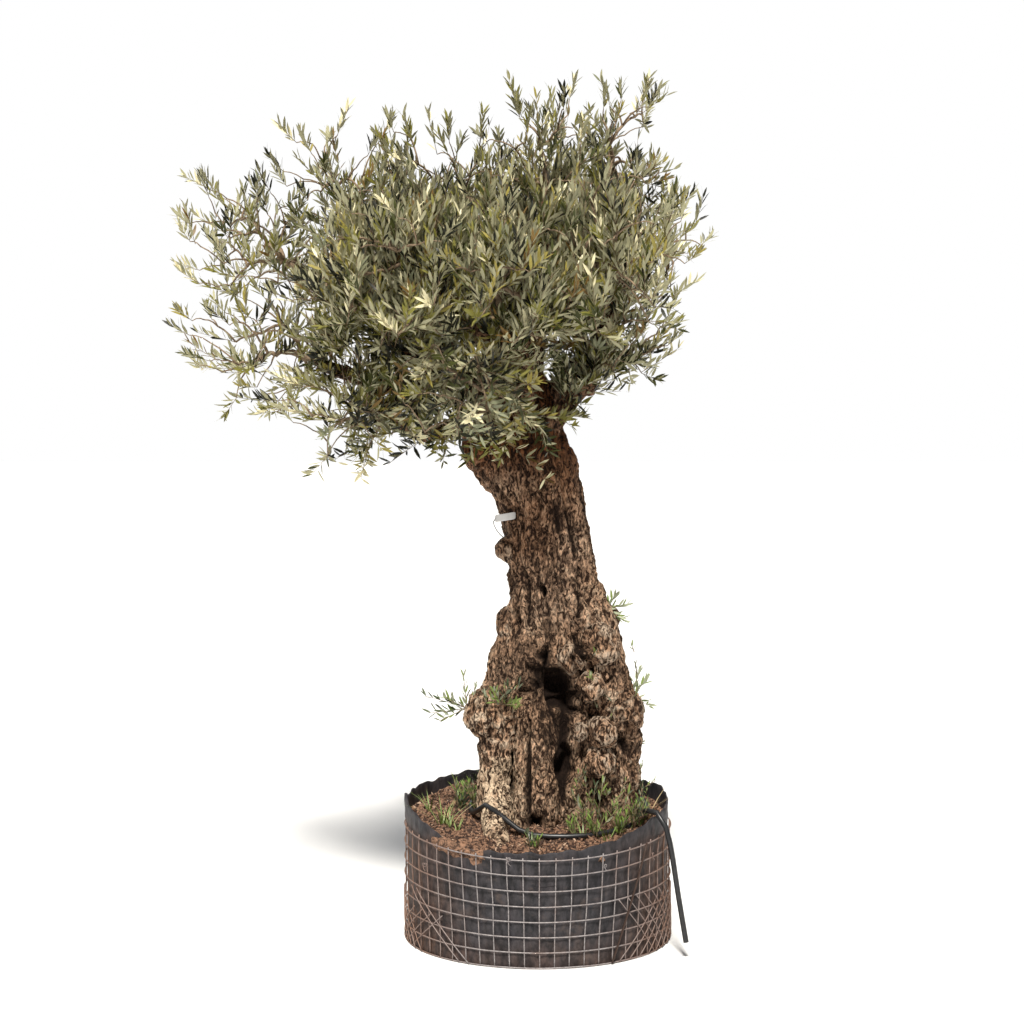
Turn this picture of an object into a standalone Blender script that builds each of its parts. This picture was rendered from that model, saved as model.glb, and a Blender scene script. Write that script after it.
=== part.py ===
"""An old olive tree grown as a large bonsai, in a pot of black liner held by a wire mesh cage.

Units are metres, +Z is up, and the front of the tree looks along -Y. The origin is the centre of
the pot's flat underside. The trunk is cut flat where it meets the soil, every bough is one
tapering limb, and each mass of foliage is one closed body of twigs and leaves in its own space.
"""

import math
import random

import bmesh
import bpy
from mathutils import Matrix, Vector
from mathutils.bvhtree import BVHTree

CLEARANCE = 0.0003          # between pieces that touch on the real tree and pot
UP = Vector((0.0, 0.0, 1.0))

# The pot: half width, number of mesh uprights round it, and heights above the floor.
POT_RADIUS = 0.400
UPRIGHTS = 52
CAGE_HEIGHT = 0.345
CAGE_DIP = 0.024            # how far the cage's top sags at the front
CELLS = 7                   # rows of mesh cells
FRONT_FLAT_FOOT = 0.12      # share of the radius that the front lacks at the floor
FRONT_FLAT_TOP = 0.03       # and at the cage's top
LINER_WALL = 0.004
LINER_RIM = 0.425
RIM_FOLD = 0.085            # how far the liner is folded down at the front
RIM_WAVES = ((3.0, 0.007, 1.0), (7.0, 0.004, 0.0))     # turns, height and start of the edge's waves
FOLD_SHARE = 0.80           # the height, in rims, at which the liner's wall bends
NEAR_TOP = 0.99             # what counts as the top of a drum of unit height
WIRE_RADIUS = 0.0018
HOOP_BULGE = 1.28           # lets a hoop's straight stretches clear the uprights between its corners

# The soil is a plane that rises towards the back.
SOIL_MIDDLE = 0.370
SOIL_RISE = 0.10            # metres up for each metre back

# The drip hose: a ring on the soil round the trunk and a tail over the pot's rim.
HOSE_RADIUS = 0.008
RING_CENTRE = (0.066, 0.030)
RING_RADIUS = 0.272
RING_START = math.radians(-16.0)
RING_TURN = math.radians(340.0)
ROOT_LIFT = 0.060           # the ring rides over the toe of the front root
ROOT_ANGLE = math.radians(220.0)
ROOT_SPREAD = math.radians(16.0)
RING_STEPS = 22
HOSE_TAIL = [
    (0.428, -0.262, 0.050),
    (0.405, -0.252, 0.190),
    (0.385, -0.243, 0.320),
    (0.366, -0.231, 0.392),
    (0.338, -0.211, 0.424),
    (0.312, -0.170, 0.414),
    (0.312, -0.122, 0.392),
]
HOSE_STEP = 0.048           # between the points of its tube

# The trunk's strands: name and points as (x, y, z, radius), from the foot up.
STRANDS = {
    "heart": [(0.07, 0.05, 0.30, 0.165), (0.07, 0.05, 0.55, 0.160), (0.06, 0.04, 0.80, 0.140),
              (0.052, 0.02, 1.05, 0.130), (0.020, 0.0, 1.28, 0.122), (-0.035, 0.0, 1.46, 0.130),
              (-0.055, 0.01, 1.60, 0.105), (-0.05, 0.02, 1.70, 0.075)],
    "left_leg": [(-0.125, -0.025, 0.30, 0.052), (-0.13, -0.025, 0.50, 0.050),
                 (-0.105, -0.03, 0.70, 0.068), (-0.04, -0.03, 0.90, 0.075),
                 (0.01, -0.03, 1.10, 0.070), (0.0, -0.03, 1.30, 0.070)],
    "root_toe": [(-0.12, -0.02, 0.46, 0.050), (-0.125, -0.10, 0.395, 0.040),
                 (-0.124, -0.20, 0.352, 0.030), (-0.120, -0.33, 0.315, 0.024)],
    "middle_column": [(-0.01, -0.105, 0.30, 0.070), (-0.005, -0.10, 0.48, 0.062),
                      (0.0, -0.075, 0.68, 0.060), (0.03, -0.05, 0.88, 0.060),
                      (0.07, -0.03, 1.10, 0.058)],
    "right_mass": [(0.225, 0.0, 0.30, 0.085), (0.225, -0.01, 0.50, 0.082),
                   (0.215, -0.02, 0.72, 0.080), (0.165, -0.02, 0.92, 0.070),
                   (0.10, -0.01, 1.12, 0.060), (0.06, -0.01, 1.32, 0.055)],
    "back_ridge": [(0.03, 0.17, 0.32, 0.080), (0.05, 0.15, 0.60, 0.070),
                   (0.06, 0.11, 0.90, 0.060), (0.04, 0.07, 1.20, 0.055),
                   (-0.04, 0.07, 1.48, 0.055)],
    "back_right_ridge": [(0.20, 0.12, 0.32, 0.070), (0.19, 0.10, 0.60, 0.065),
                         (0.13, 0.07, 0.95, 0.055)],
    "head_left": [(-0.02, 0.0, 1.34, 0.07), (-0.12, 0.0, 1.46, 0.085), (-0.13, 0.01, 1.56, 0.07)],
}
# Burls and knots: centre and radius.
BURLS = [
    (-0.160, -0.02, 1.480, 0.068), (-0.085, -0.02, 1.180, 0.040), (-0.075, -0.03, 0.955, 0.052),
    (-0.145, -0.03, 0.680, 0.078), (0.190, -0.06, 0.885, 0.056), (0.105, -0.09, 0.860, 0.040),
    (0.238, -0.03, 0.685, 0.078), (0.250, -0.02, 0.500, 0.062), (0.190, -0.10, 0.560, 0.048),
    (0.160, -0.09, 0.740, 0.042), (0.200, 0.02, 0.975, 0.045), (-0.060, 0.12, 0.620, 0.065),
    (0.120, 0.17, 0.760, 0.060), (0.020, 0.10, 1.120, 0.045), (-0.080, 0.06, 0.840, 0.050),
    (0.255, 0.08, 0.420, 0.060), (0.060, 0.03, 1.440, 0.060), (-0.060, 0.08, 1.380, 0.050),
]
# Hollows in the trunk: the place on the bark, the reach across, along Y and up, and the depth.
HOLLOW_EDGE = 1.6            # how sharply a hollow's edge falls
HOLLOWS = [
    (0.035, -0.15, 0.770, 0.045, 0.10, 0.085, 0.070), (0.050, -0.15, 0.690, 0.050, 0.10, 0.040, 0.065),
    (0.040, -0.15, 0.860, 0.020, 0.10, 0.050, 0.045), (0.110, -0.15, 0.540, 0.024, 0.10, 0.080, 0.060),
    (0.155, -0.14, 0.820, 0.018, 0.09, 0.035, 0.035), (0.050, -0.19, 0.620, 0.026, 0.09, 0.020, 0.030),
    (0.100, 0.24, 0.560, 0.035, 0.10, 0.110, 0.050), (-0.030, 0.22, 0.720, 0.020, 0.10, 0.060, 0.035),
    (0.120, 0.15, 1.050, 0.018, 0.09, 0.060, 0.030), (0.290, 0.05, 0.560, 0.10, 0.03, 0.060, 0.035),
    (-0.170, 0.03, 0.450, 0.09, 0.022, 0.090, 0.035),
]
# Clefts between the strands: where each starts and ends on the bark, its width and its depth.
CLEFTS = [
    (-0.048, -0.16, 0.350, -0.040, -0.15, 0.700, 0.012, 0.034),
    (-0.085, -0.10, 0.340, -0.082, -0.10, 0.560, 0.012, 0.030),
    (0.060, -0.17, 0.360, 0.066, -0.15, 0.560, 0.011, 0.020),
    (0.000, -0.12, 0.900, -0.020, -0.12, 1.220, 0.011, 0.020),
    (0.060, -0.12, 1.150, 0.030, -0.13, 1.450, 0.011, 0.020),
    (0.145, -0.10, 0.960, 0.120, -0.10, 1.300, 0.011, 0.020),
    (-0.030, 0.20, 0.380, -0.010, 0.19, 0.900, 0.012, 0.030),
    (0.170, 0.18, 0.400, 0.140, 0.14, 0.950, 0.012, 0.028),
    (0.020, 0.15, 1.000, -0.040, 0.13, 1.450, 0.011, 0.020),
]
CLEFT_FLATNESS = 0.12       # how little a cleft fades with distance in front of the bark
# Ribs that climb the trunk with a twist, and broad lumps: their count, twist and heights.
RIBS = 9
RIB_TWIST = 0.9             # radians a metre
RIB_HEIGHT = 0.0065
RIB_WANDER = (1.5, 7.0)     # how far the ribs wander, in radians, and how often
LUMP_HEIGHT = 0.0075
LUMP_PLACES = ((38, 0, 11, 0.0), (0, 34, 27, 1.3))      # two crossing waves, along X, Y and Z
RIB_FOOT = 0.44             # below this height there are none
RIB_TOP = 1.47              # nor above this one, where the boughs spring
RIB_FADE = 0.10
STRAND_STEP = 0.05
TRUNK_VOXEL = 0.010
TRUNK_TRIANGLES = 2600

BOUGH_LEAN = 1.3            # how far a bough keeps to its first side, in its listed step
BOUGH_SAG = 0.04
BOUGH_STEP = 0.12

# The boughs: the limb each springs from (None is the trunk), how far along it, its root on the
# trunk, the side it first heads to, its tip, and its radius at root and tip.
BOUGHS = {
    "bough_left": (None, 0.0, (-0.1, 0.01, 1.59), (-0.1, 0.0, 0.08),
                   (-0.66, -0.03, 1.74), 0.044, 0.017),
    "bough_upper_left": (None, 0.0, (-0.07, 0.02, 1.66), (-0.08, 0.02, 0.14),
                         (-0.72, 0.0, 2.02), 0.04, 0.015),
    "bough_top": (None, 0.0, (-0.03, 0.0, 1.68), (0.01, 0.0, 0.16),
                  (0.02, 0.0, 2.22), 0.042, 0.015),
    "bough_right": (None, 0.0, (0.01, 0.03, 1.61), (0.1, 0.02, 0.1),
                    (0.28, 0.0, 2.05), 0.038, 0.015),
    "bough_low_right": (None, 0.0, (0.03, -0.05, 1.55), (0.08, -0.02, 0.09),
                        (0.17, -0.04, 1.735), 0.032, 0.016),
    "bough_front": (None, 0.0, (-0.05, -0.07, 1.6), (0.0, -0.1, 0.1),
                    (-0.11, -0.26, 1.88), 0.036, 0.015),
    "bough_back": (None, 0.0, (-0.05, 0.08, 1.6), (0.0, 0.1, 0.12),
                   (-0.13, 0.34, 2.07), 0.038, 0.015),
    "bough_low_left": (None, 0.0, (-0.14, -0.04, 1.49), (-0.08, -0.03, 0.04),
                       (-0.44, -0.08, 1.57), 0.026, 0.013),
    "bough_middle_left": ("bough_left", 0.42, None, (0.0, -0.04, 0.06),
                          (-0.5, -0.1, 1.86), 0.022, 0.013),
    "bough_high_left": ("bough_upper_left", 0.6, None, (0.0, 0.03, 0.07),
                        (-0.57, 0.06, 2.2), 0.02, 0.012),
    "bough_top_left": ("bough_top", 0.22, None, (-0.08, 0.02, 0.08),
                       (-0.26, 0.02, 2.17), 0.022, 0.012),
    "bough_top_right": ("bough_right", 0.45, None, (0.0, 0.03, 0.08),
                        (0.22, 0.06, 2.28), 0.02, 0.012),
    "bough_front_left": ("bough_front", 0.5, None, (-0.04, -0.02, 0.03),
                         (-0.33, -0.33, 1.97), 0.02, 0.012),
    "bough_front_right": ("bough_front", 0.62, None, (0.05, -0.02, 0.03),
                          (0.11, -0.29, 1.96), 0.019, 0.012),
    "bough_back_left": ("bough_back", 0.45, None, (-0.05, 0.02, 0.03),
                        (-0.38, 0.32, 2.02), 0.021, 0.012),
    "bough_back_right": ("bough_back", 0.55, None, (0.05, 0.02, 0.03),
                         (0.12, 0.33, 2.06), 0.021, 0.012),
}

# The masses of foliage: what carries each (a bough's name, or a point aimed at the trunk), its
# centre, its reach to the side and up, and the far tips that it grows out to.
MASSES = {
    "foliage_far_left_top": ("bough_upper_left", (-0.86, 0.0, 2.10), 0.24, 0.24,
                             [(-1.08, 0.0, 2.21), (-1.01, -0.08, 2.275), (-0.90, 0.05, 2.335)]),
    "foliage_far_left_low": ("bough_left", (-0.84, -0.05, 1.78), 0.26, 0.20,
                             [(-1.08, 0.0, 1.84), (-1.045, -0.1, 1.715), (-0.84, 0.0, 1.63)]),
    "foliage_high_left": ("bough_high_left", (-0.60, 0.05, 2.27), 0.23, 0.21,
                          [(-0.76, 0.0, 2.394), (-0.64, 0.05, 2.484), (-0.56, 0.0, 2.38)]),
    "foliage_middle_left": ("bough_middle_left", (-0.52, -0.16, 1.89), 0.27, 0.22, []),
    "foliage_low_left": ("bough_low_left", (-0.56, -0.10, 1.60), 0.28, 0.19,
                         [(-0.60, -0.05, 1.395), (-0.72, -0.1, 1.57)]),
    "foliage_top_left": ("bough_top_left", (-0.30, 0.0, 2.27), 0.25, 0.24,
                         [(-0.34, 0.0, 2.534), (-0.15, 0.1, 2.455)]),
    "foliage_top": ("bough_top", (0.02, 0.0, 2.33), 0.25, 0.25,
                    [(-0.10, 0.0, 2.635), (-0.01, -0.05, 2.573), (0.072, 0.05, 2.582)]),
    "foliage_top_right": ("bough_top_right", (0.27, 0.05, 2.35), 0.22, 0.24,
                          [(0.351, 0.0, 2.641), (0.396, 0.08, 2.63), (0.457, 0.0, 2.335)]),
    "foliage_right": ("bough_right", (0.32, 0.0, 2.09), 0.21, 0.22,
                      [(0.502, 0.0, 2.29), (0.537, 0.0, 2.081)]),
    "foliage_low_right": ("bough_low_right", (0.22, -0.05, 1.84), 0.23, 0.18,
                          [(0.429, 0.0, 1.786), (0.28, -0.05, 1.675)]),
    "foliage_front": ("bough_front", (-0.10, -0.40, 1.98), 0.28, 0.27, []),
    "foliage_front_left": ("bough_front_left", (-0.38, -0.38, 1.99), 0.29, 0.27, []),
    "foliage_front_right": ("bough_front_right", (0.20, -0.36, 2.03), 0.26, 0.28, []),
    "foliage_back_left": ("bough_back_left", (-0.47, 0.40, 2.10), 0.30, 0.28, []),
    "foliage_back": ("bough_back", (-0.13, 0.46, 2.20), 0.29, 0.28, []),
    "foliage_back_right": ("bough_back_right", (0.20, 0.38, 2.12), 0.27, 0.28, []),
    "foliage_low_middle": ((-0.12, -0.30, 1.62), (-0.20, -0.30, 1.67), 0.26, 0.20,
                           [(-0.342, -0.2, 1.47)]),
    "foliage_low_back": ((-0.14, 0.45, 1.36), (-0.17, 0.34, 1.72), 0.27, 0.21, []),
}
# Suckers and sprigs on the trunk: a point outside the bark to aim from, then the tips.
SPRIGS = {
    "sprig_left_burl": ((-0.27, -0.05, 0.70), [(-0.33, -0.05, 0.685), (-0.28, -0.07, 0.735),
                                               (-0.225, -0.04, 0.80)]),
    "sprig_front_burl": ((-0.11, -0.16, 0.70), [(-0.06, -0.17, 0.73), (-0.13, -0.17, 0.77)]),
    "sprig_right_top": ((0.27, -0.03, 0.99), [(0.235, -0.04, 1.04), (0.262, -0.02, 0.96)]),
    "sprig_right_burl": ((0.34, -0.04, 0.72), [(0.305, -0.05, 0.81), (0.33, -0.03, 0.78)]),
}
# Suckers from the soil at the trunk's foot: where they rise, then the tips.
SUCKERS = {
    "suckers_right": ((0.17, -0.165), [(0.10, -0.20, 0.47), (0.19, -0.20, 0.51), (0.27, -0.16, 0.47)]),
    "suckers_left": ((-0.24, 0.02), [(-0.255, 0.02, 0.47), (-0.215, -0.01, 0.44)]),
}

# Twigs and leaves. A leaf here stands for a spray of small ones.
SHOOTS_PER_MASS = 5
SHOOT_BAND = (0.25, 0.85)   # where shoots end, in reaches of their mass
SHOOT_GAP = 0.02            # kept between a shoot's end and any limb
SHOOT_TRIES = 90
SHOOT_BENDS = (0.10, -0.08, 0.0)        # arched, sagging or straight, in lengths
SHORT_SHOOT = 0.12          # one shorter than this is straight
NODES_TRIED = 8
DETOUR_COST = 0.4           # what a metre along the twigs counts beside one through the air
PROBE_STEP = 0.015
LEAF_PAIRS = 2              # on each branch, besides the leaf at its end
LEAF_TRIES = 9
LEAF_NODES = (0.75, 0.30)   # where the pairs stand along a shoot
LEAF_LIFT = 0.2
LEAF_LEAN = 0.75            # how far a leaf leans along its shoot
LEAF_STRAY = 0.15           # how much further it strays at each try
LEAF_SHRINK = 0.96          # and how much shorter it gets
LEAF_REACH = 1.25           # how far a leaf's tip may stand out, in reaches of its mass
TWIG_SIDE = Vector((0.31, 0.83, 0.46)).normalized()
LEAF_LENGTH = 0.185
LEAF_WIDTH = 0.066
LEAF_THICKNESS = 0.007
LEAF_WIDEST = 0.45          # how far along a leaf its widest place lies
SPRIG_LEAF_LENGTH = 0.050
TWIG_RADIUS = 0.0032
TWIG_TIP = 0.7              # a twig's end, in its radii
MASS_STUB = 0.05            # the bare foot of a mass
TRUNK_STEM = 0.012          # radius of a mass's foot on the trunk itself
SPRIG_STUB = 0.012
SPRIG_STEM = 0.003
CELL_MARGIN = 0.0015        # kept between a mass and the border of its space
LIMB_MARGIN = 0.004         # kept between foliage and any limb

# The nursery tag: a blank plastic strip on a loop of strap.
TAG_LENGTH = 0.086
TAG_WIDTH = 0.022
TAG_THICKNESS = 0.0012
TAG_PLACE = (-0.098, -0.118, 1.270)
TAG_SHIFT = 0.026           # the strip hangs off its tie to the left
TAG_PIN = 0.003             # radius of the tie's end on the bark
TAG_STAND = 0.020           # how far it stands off the bark


def front_share(angle):
    """1 at the front of the pot, fading to 0 at its sides."""
    return max(0.0, -math.sin(angle)) ** 2


def wall_radius(angle, height):
    """Radius of the liner's outside: a circle, flatter at the front and most so at the floor."""
    share = min(max(height / CAGE_HEIGHT, 0.0), 1.0)
    flat = FRONT_FLAT_FOOT + (FRONT_FLAT_TOP - FRONT_FLAT_FOOT) * share
    return POT_RADIUS * (1.0 - flat * front_share(angle))


def rim_height(angle):
    """Height of the liner's edge, folded down at the front and uneven all round."""
    waves = sum(size * math.sin(turns * angle + start) for turns, size, start in RIM_WAVES)
    front = front_share(angle)
    return LINER_RIM - RIM_FOLD * front + waves * (1.0 - front)


def soil_height(x, y):
    """Height of the soil's surface."""
    return SOIL_MIDDLE + SOIL_RISE * y


def liner_radius(angle, height):
    """Radius of the liner's outside, straight from floor to bend and from bend to edge."""
    rim = rim_height(angle)
    bend = rim * FOLD_SHARE
    foot = wall_radius(angle, 0.0)
    middle = wall_radius(angle, bend)
    edge = wall_radius(angle, rim)
    if height < bend:
        return foot + (middle - foot) * height / bend
    return middle + (edge - middle) * (height - bend) / (rim - bend)


def polar(angle, radius, height):
    """Point at an angle and a radius from the pot's axis."""
    return Vector((radius * math.cos(angle), radius * math.sin(angle), height))


def material(name, colour, roughness, metallic=0.0):
    """A plain Principled material."""
    made = bpy.data.materials.new(name)
    made.use_nodes = True
    shader = made.node_tree.nodes["Principled BSDF"]
    shader.inputs["Base Color"].default_value = (*colour, 1.0)
    shader.inputs["Roughness"].default_value = roughness
    shader.inputs["Metallic"].default_value = metallic
    return made


def collection(name):
    """A new collection in the scene."""
    made = bpy.data.collections.new(name)
    bpy.context.scene.collection.children.link(made)
    return made


def add_object(name, mesh, group, finish=None):
    """An object for a mesh, in a collection and with its material."""
    made = bpy.data.objects.new(name, mesh)
    group.objects.link(made)
    if finish is not None:
        mesh.materials.clear()
        mesh.materials.append(finish)
    return made


def add_bmesh(name, shape, group, finish=None):
    """An object from a bmesh, which is freed."""
    mesh = bpy.data.meshes.new(name)
    bmesh.ops.recalc_face_normals(shape, faces=shape.faces)
    shape.to_mesh(mesh)
    shape.free()
    return add_object(name, mesh, group, finish)


def applied_mesh(source):
    """The object's mesh with its modifiers applied; the object is removed."""
    bpy.context.view_layer.update()
    evaluated = source.evaluated_get(bpy.context.evaluated_depsgraph_get())
    mesh = bpy.data.meshes.new_from_object(evaluated)
    mesh.transform(source.matrix_world)
    bpy.data.objects.remove(source)
    return mesh


def largest_body(mesh):
    """Keep only the mesh's largest connected body, which drops scraps and sealed hollows."""
    shape = bmesh.new()
    shape.from_mesh(mesh)
    left = set(shape.verts)
    bodies = []
    while left:
        front = [left.pop()]
        body = set(front)
        while front:
            vertex = front.pop()
            for edge in vertex.link_edges:
                other = edge.other_vert(vertex)
                if other in left:
                    left.remove(other)
                    body.add(other)
                    front.append(other)
        bodies.append(body)
    bodies.sort(key=len, reverse=True)
    spare = [vertex for body in bodies[1:] for vertex in body]
    bmesh.ops.delete(shape, geom=spare, context="VERTS")
    shape.to_mesh(mesh)
    shape.free()
    return mesh


def smooth_curve(points, step):
    """Catmull-Rom curve through points of any dimension, cut to about equal steps."""
    vectors = [Vector(point) for point in points]
    ends = [vectors[0] * 2 - vectors[1]] + vectors + [vectors[-1] * 2 - vectors[-2]]
    fine = []
    for index in range(1, len(ends) - 2):
        before, start, end, after = ends[index - 1:index + 3]
        for part in range(20):
            t = part / 20
            fine.append(0.5 * (2 * start + (end - before) * t
                               + (2 * before - 5 * start + 4 * end - after) * t ** 2
                               + (3 * start - before - 3 * end + after) * t ** 3))
    fine.append(ends[-2])
    lengths = [0.0]
    for start, end in zip(fine, fine[1:]):
        lengths.append(lengths[-1] + (end - start).length)
    count = max(2, round(lengths[-1] / step))
    even = []
    place = 0
    for index in range(count + 1):
        wanted = lengths[-1] * index / count
        while place < len(fine) - 2 and lengths[place + 1] < wanted:
            place += 1
        share = (wanted - lengths[place]) / max(lengths[place + 1] - lengths[place], 1e-9)
        even.append(fine[place].lerp(fine[place + 1], min(share, 1.0)))
    return even


def tube_mesh(points, radii, resolution):
    """A closed round tube through the points, made as a bevelled curve with filled caps."""
    curve = bpy.data.curves.new("tube", "CURVE")
    curve.dimensions = "3D"
    curve.bevel_depth = 1.0
    curve.bevel_resolution = resolution
    curve.use_fill_caps = True
    spline = curve.splines.new("POLY")
    spline.points.add(len(points) - 1)
    for node, point, radius in zip(spline.points, points, radii):
        node.co = (*point[:3], 1.0)
        node.radius = radius
    mesh = applied_mesh(add_object("tube", curve, work))
    bpy.data.curves.remove(curve)
    shape = bmesh.new()
    shape.from_mesh(mesh)
    bmesh.ops.remove_doubles(shape, verts=shape.verts, dist=0.00001)
    bmesh.ops.recalc_face_normals(shape, faces=shape.faces)
    shape.to_mesh(mesh)
    shape.free()
    return mesh


def grown_copy(mesh, distance):
    """A copy of the mesh swollen along its normals, used as a cutter."""
    copy = mesh.copy()
    for vertex in copy.vertices:
        vertex.co += vertex.normal * distance
    return copy


def boolean(mesh, operation, cutter_mesh=None, cutter_group=None, solver="MANIFOLD"):
    """The mesh after one Boolean with a mesh or with a whole collection."""
    target = add_object("target", mesh, work)
    modifier = target.modifiers.new("boolean", "BOOLEAN")
    modifier.operation = operation
    modifier.solver = solver
    cutter = None
    if cutter_group is not None:
        modifier.operand_type = "COLLECTION"
        modifier.collection = cutter_group
    else:
        cutter = add_object("cutter", cutter_mesh, cutters)
        cutter.hide_render = True
        cutter.display_type = "WIRE"
        modifier.object = cutter
    result = applied_mesh(target)
    if cutter is not None:
        bpy.data.objects.remove(cutter)
    return result


def rod(shape, start, end, radius_start, radius_end, side=UP, sides=3):
    """Add a straight three-sided rod to a bmesh, one of its ridges facing the given side."""
    axis = end - start
    length = axis.length
    axis.normalize()
    across = side.cross(axis)
    if across.length < 0.05:
        across = Vector((1.0, 0.0, 0.0)).cross(axis)
    across.normalize()
    ridge = axis.cross(across)
    turn = Matrix((across, ridge, axis)).transposed().to_4x4()
    place = Matrix.Translation((start + end) / 2) @ turn
    bmesh.ops.create_cone(shape, cap_ends=True, segments=sides, radius1=radius_start,
                          radius2=radius_end, depth=length, matrix=place)


# ---------------------------------------------------------------------------------------- pot

def three_rings(lidded):
    """A drum of unit height with a ring of corners at its floor, at its bend and at its top."""
    shape = bmesh.new()
    bmesh.ops.create_cone(shape, cap_ends=True, segments=UPRIGHTS, radius1=POT_RADIUS,
                          radius2=POT_RADIUS, depth=1.0, matrix=Matrix.Translation((0, 0, 0.5)))
    everything = shape.verts[:] + shape.edges[:] + shape.faces[:]
    bmesh.ops.bisect_plane(shape, geom=everything, plane_co=(0, 0, FOLD_SHARE), plane_no=UP)
    if not lidded:
        lid = [face for face in shape.faces if face.calc_center_median().z > NEAR_TOP]
        bmesh.ops.delete(shape, geom=lid, context="FACES")
    return shape


def make_liner():
    """The liner: an open vessel with a flat floor and a soft uneven edge."""
    shape = three_rings(False)
    for vertex in shape.verts:
        angle = math.atan2(vertex.co.y, vertex.co.x)
        height = rim_height(angle) * vertex.co.z
        vertex.co = polar(angle, liner_radius(angle, height), height)
    liner = add_bmesh("pot_liner", shape, olive, liner_black)
    skin = liner.modifiers.new("wall", "SOLIDIFY")
    skin.thickness = LINER_WALL
    skin.offset = -1.0
    skin.use_even_offset = True
    return liner


def make_soil():
    """The soil: fills the liner up to a plane that rises to the back."""
    shape = three_rings(True)
    inset = LINER_WALL + 2 * CLEARANCE
    for vertex in shape.verts:
        angle = math.atan2(vertex.co.y, vertex.co.x)
        if vertex.co.z < 1.0 - NEAR_TOP:
            height = LINER_WALL + CLEARANCE
        elif vertex.co.z < NEAR_TOP:
            height = rim_height(angle) * FOLD_SHARE
        else:
            height = soil_height(0.0, (POT_RADIUS - inset) * math.sin(angle))
        radius = liner_radius(angle, height) - inset
        if vertex.co.z > NEAR_TOP:
            height = soil_height(0.0, radius * math.sin(angle))
        vertex.co = polar(angle, radius, height)
    return add_bmesh("soil", shape, olive, soil_brown)


def cage_top(angle):
    """Height of the cage's top wire."""
    return CAGE_HEIGHT - CAGE_DIP * front_share(angle)


def ring_mesh(row, offset, radius, corners):
    """One wire hoop of the cage, wrapped round the liner in straight stretches."""
    bpy.ops.mesh.primitive_torus_add(major_segments=corners, minor_segments=3,
                                     major_radius=POT_RADIUS, minor_radius=radius)
    torus = bpy.context.object
    mesh = torus.data
    for vertex in mesh.vertices:
        angle = math.atan2(vertex.co.y, vertex.co.x)
        outward = math.hypot(vertex.co.x, vertex.co.y) - POT_RADIUS
        height = 2 * WIRE_RADIUS + (cage_top(angle) - 2 * WIRE_RADIUS) * row / CELLS
        vertex.co = polar(angle, wall_radius(angle, height) + offset + outward, height + vertex.co.z)
    bpy.data.objects.remove(torus)
    return mesh


def make_cage():
    """Uprights of the mesh joined by the hoop at the floor, and the other hoops outside them."""
    upright_offset = CLEARANCE + WIRE_RADIUS / 2
    corner = HOOP_BULGE * POT_RADIUS * (1.0 - math.cos(2 * math.pi / UPRIGHTS))
    hoop_offset = upright_offset + WIRE_RADIUS + CLEARANCE + WIRE_RADIUS / 2 + corner
    for index in range(UPRIGHTS):
        angle = 2 * math.pi * index / UPRIGHTS
        top = cage_top(angle) + 3 * WIRE_RADIUS
        foot = polar(angle, wall_radius(angle, 0.0) + upright_offset, WIRE_RADIUS / 2)
        head = polar(angle, wall_radius(angle, top) + upright_offset, top)
        shape = bmesh.new()
        rod(shape, foot, head, WIRE_RADIUS, WIRE_RADIUS, polar(angle, 1.0, 0.0))
        add_bmesh("upright", shape, scraps)
    foot_ring = ring_mesh(0, upright_offset, WIRE_RADIUS * 0.9, UPRIGHTS)
    mesh = boolean(foot_ring, "UNION", cutter_group=scraps)
    clear_scraps()
    add_object("cage_uprights", mesh, olive, wire_grey)
    for row in range(1, CELLS + 1):
        hoop = ring_mesh(row, hoop_offset, WIRE_RADIUS, UPRIGHTS // 2)
        add_object(f"cage_hoop_{row}", hoop, olive, wire_grey)


def hose_points():
    """The hose's course: the tail from its cut end over the rim, then the ring on the soil."""
    points = [Vector(point) for point in HOSE_TAIL]
    for index in range(RING_STEPS + 1):
        turn = RING_TURN * index / RING_STEPS
        angle = RING_START + turn
        x = RING_CENTRE[0] + RING_RADIUS * math.cos(angle)
        y = RING_CENTRE[1] + RING_RADIUS * math.sin(angle)
        lift = ROOT_LIFT * math.exp(-((angle - ROOT_ANGLE) / ROOT_SPREAD) ** 2)
        points.append(Vector((x, y, soil_height(x, y) + HOSE_RADIUS + 4 * CLEARANCE + lift)))
    return smooth_curve(points, HOSE_STEP)


def make_hose():
    """The drip hose as one round tube."""
    points = hose_points()
    mesh = tube_mesh(points, [HOSE_RADIUS] * len(points), 2)
    return add_object("drip_hose", mesh, olive, hose_black)


# -------------------------------------------------------------------------------- trunk, boughs

def carved_depth(point):
    """How deep the bark is sunk at a point: the deepest of the hollows plus that of the clefts."""
    deep = 0.0
    for x, y, z, across, along, up, depth in HOLLOWS:
        apart = ((point.x - x) / across) ** 2 + ((point.y - y) / along) ** 2 + ((point.z - z) / up) ** 2
        deep = max(deep, depth * math.exp(-apart ** HOLLOW_EDGE))
    split = 0.0
    for start_x, start_y, start_z, end_x, end_y, end_z, width, depth in CLEFTS:
        start = Vector((start_x, start_y, start_z))
        way = Vector((end_x, end_y, end_z)) - start
        share = min(max((point - start).dot(way) / way.length_squared, 0.0), 1.0)
        gap = point - start - way * share
        gap.y *= CLEFT_FLATNESS
        split = max(split, depth * math.exp(-(gap.length / width) ** 2))
    return deep + split


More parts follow.
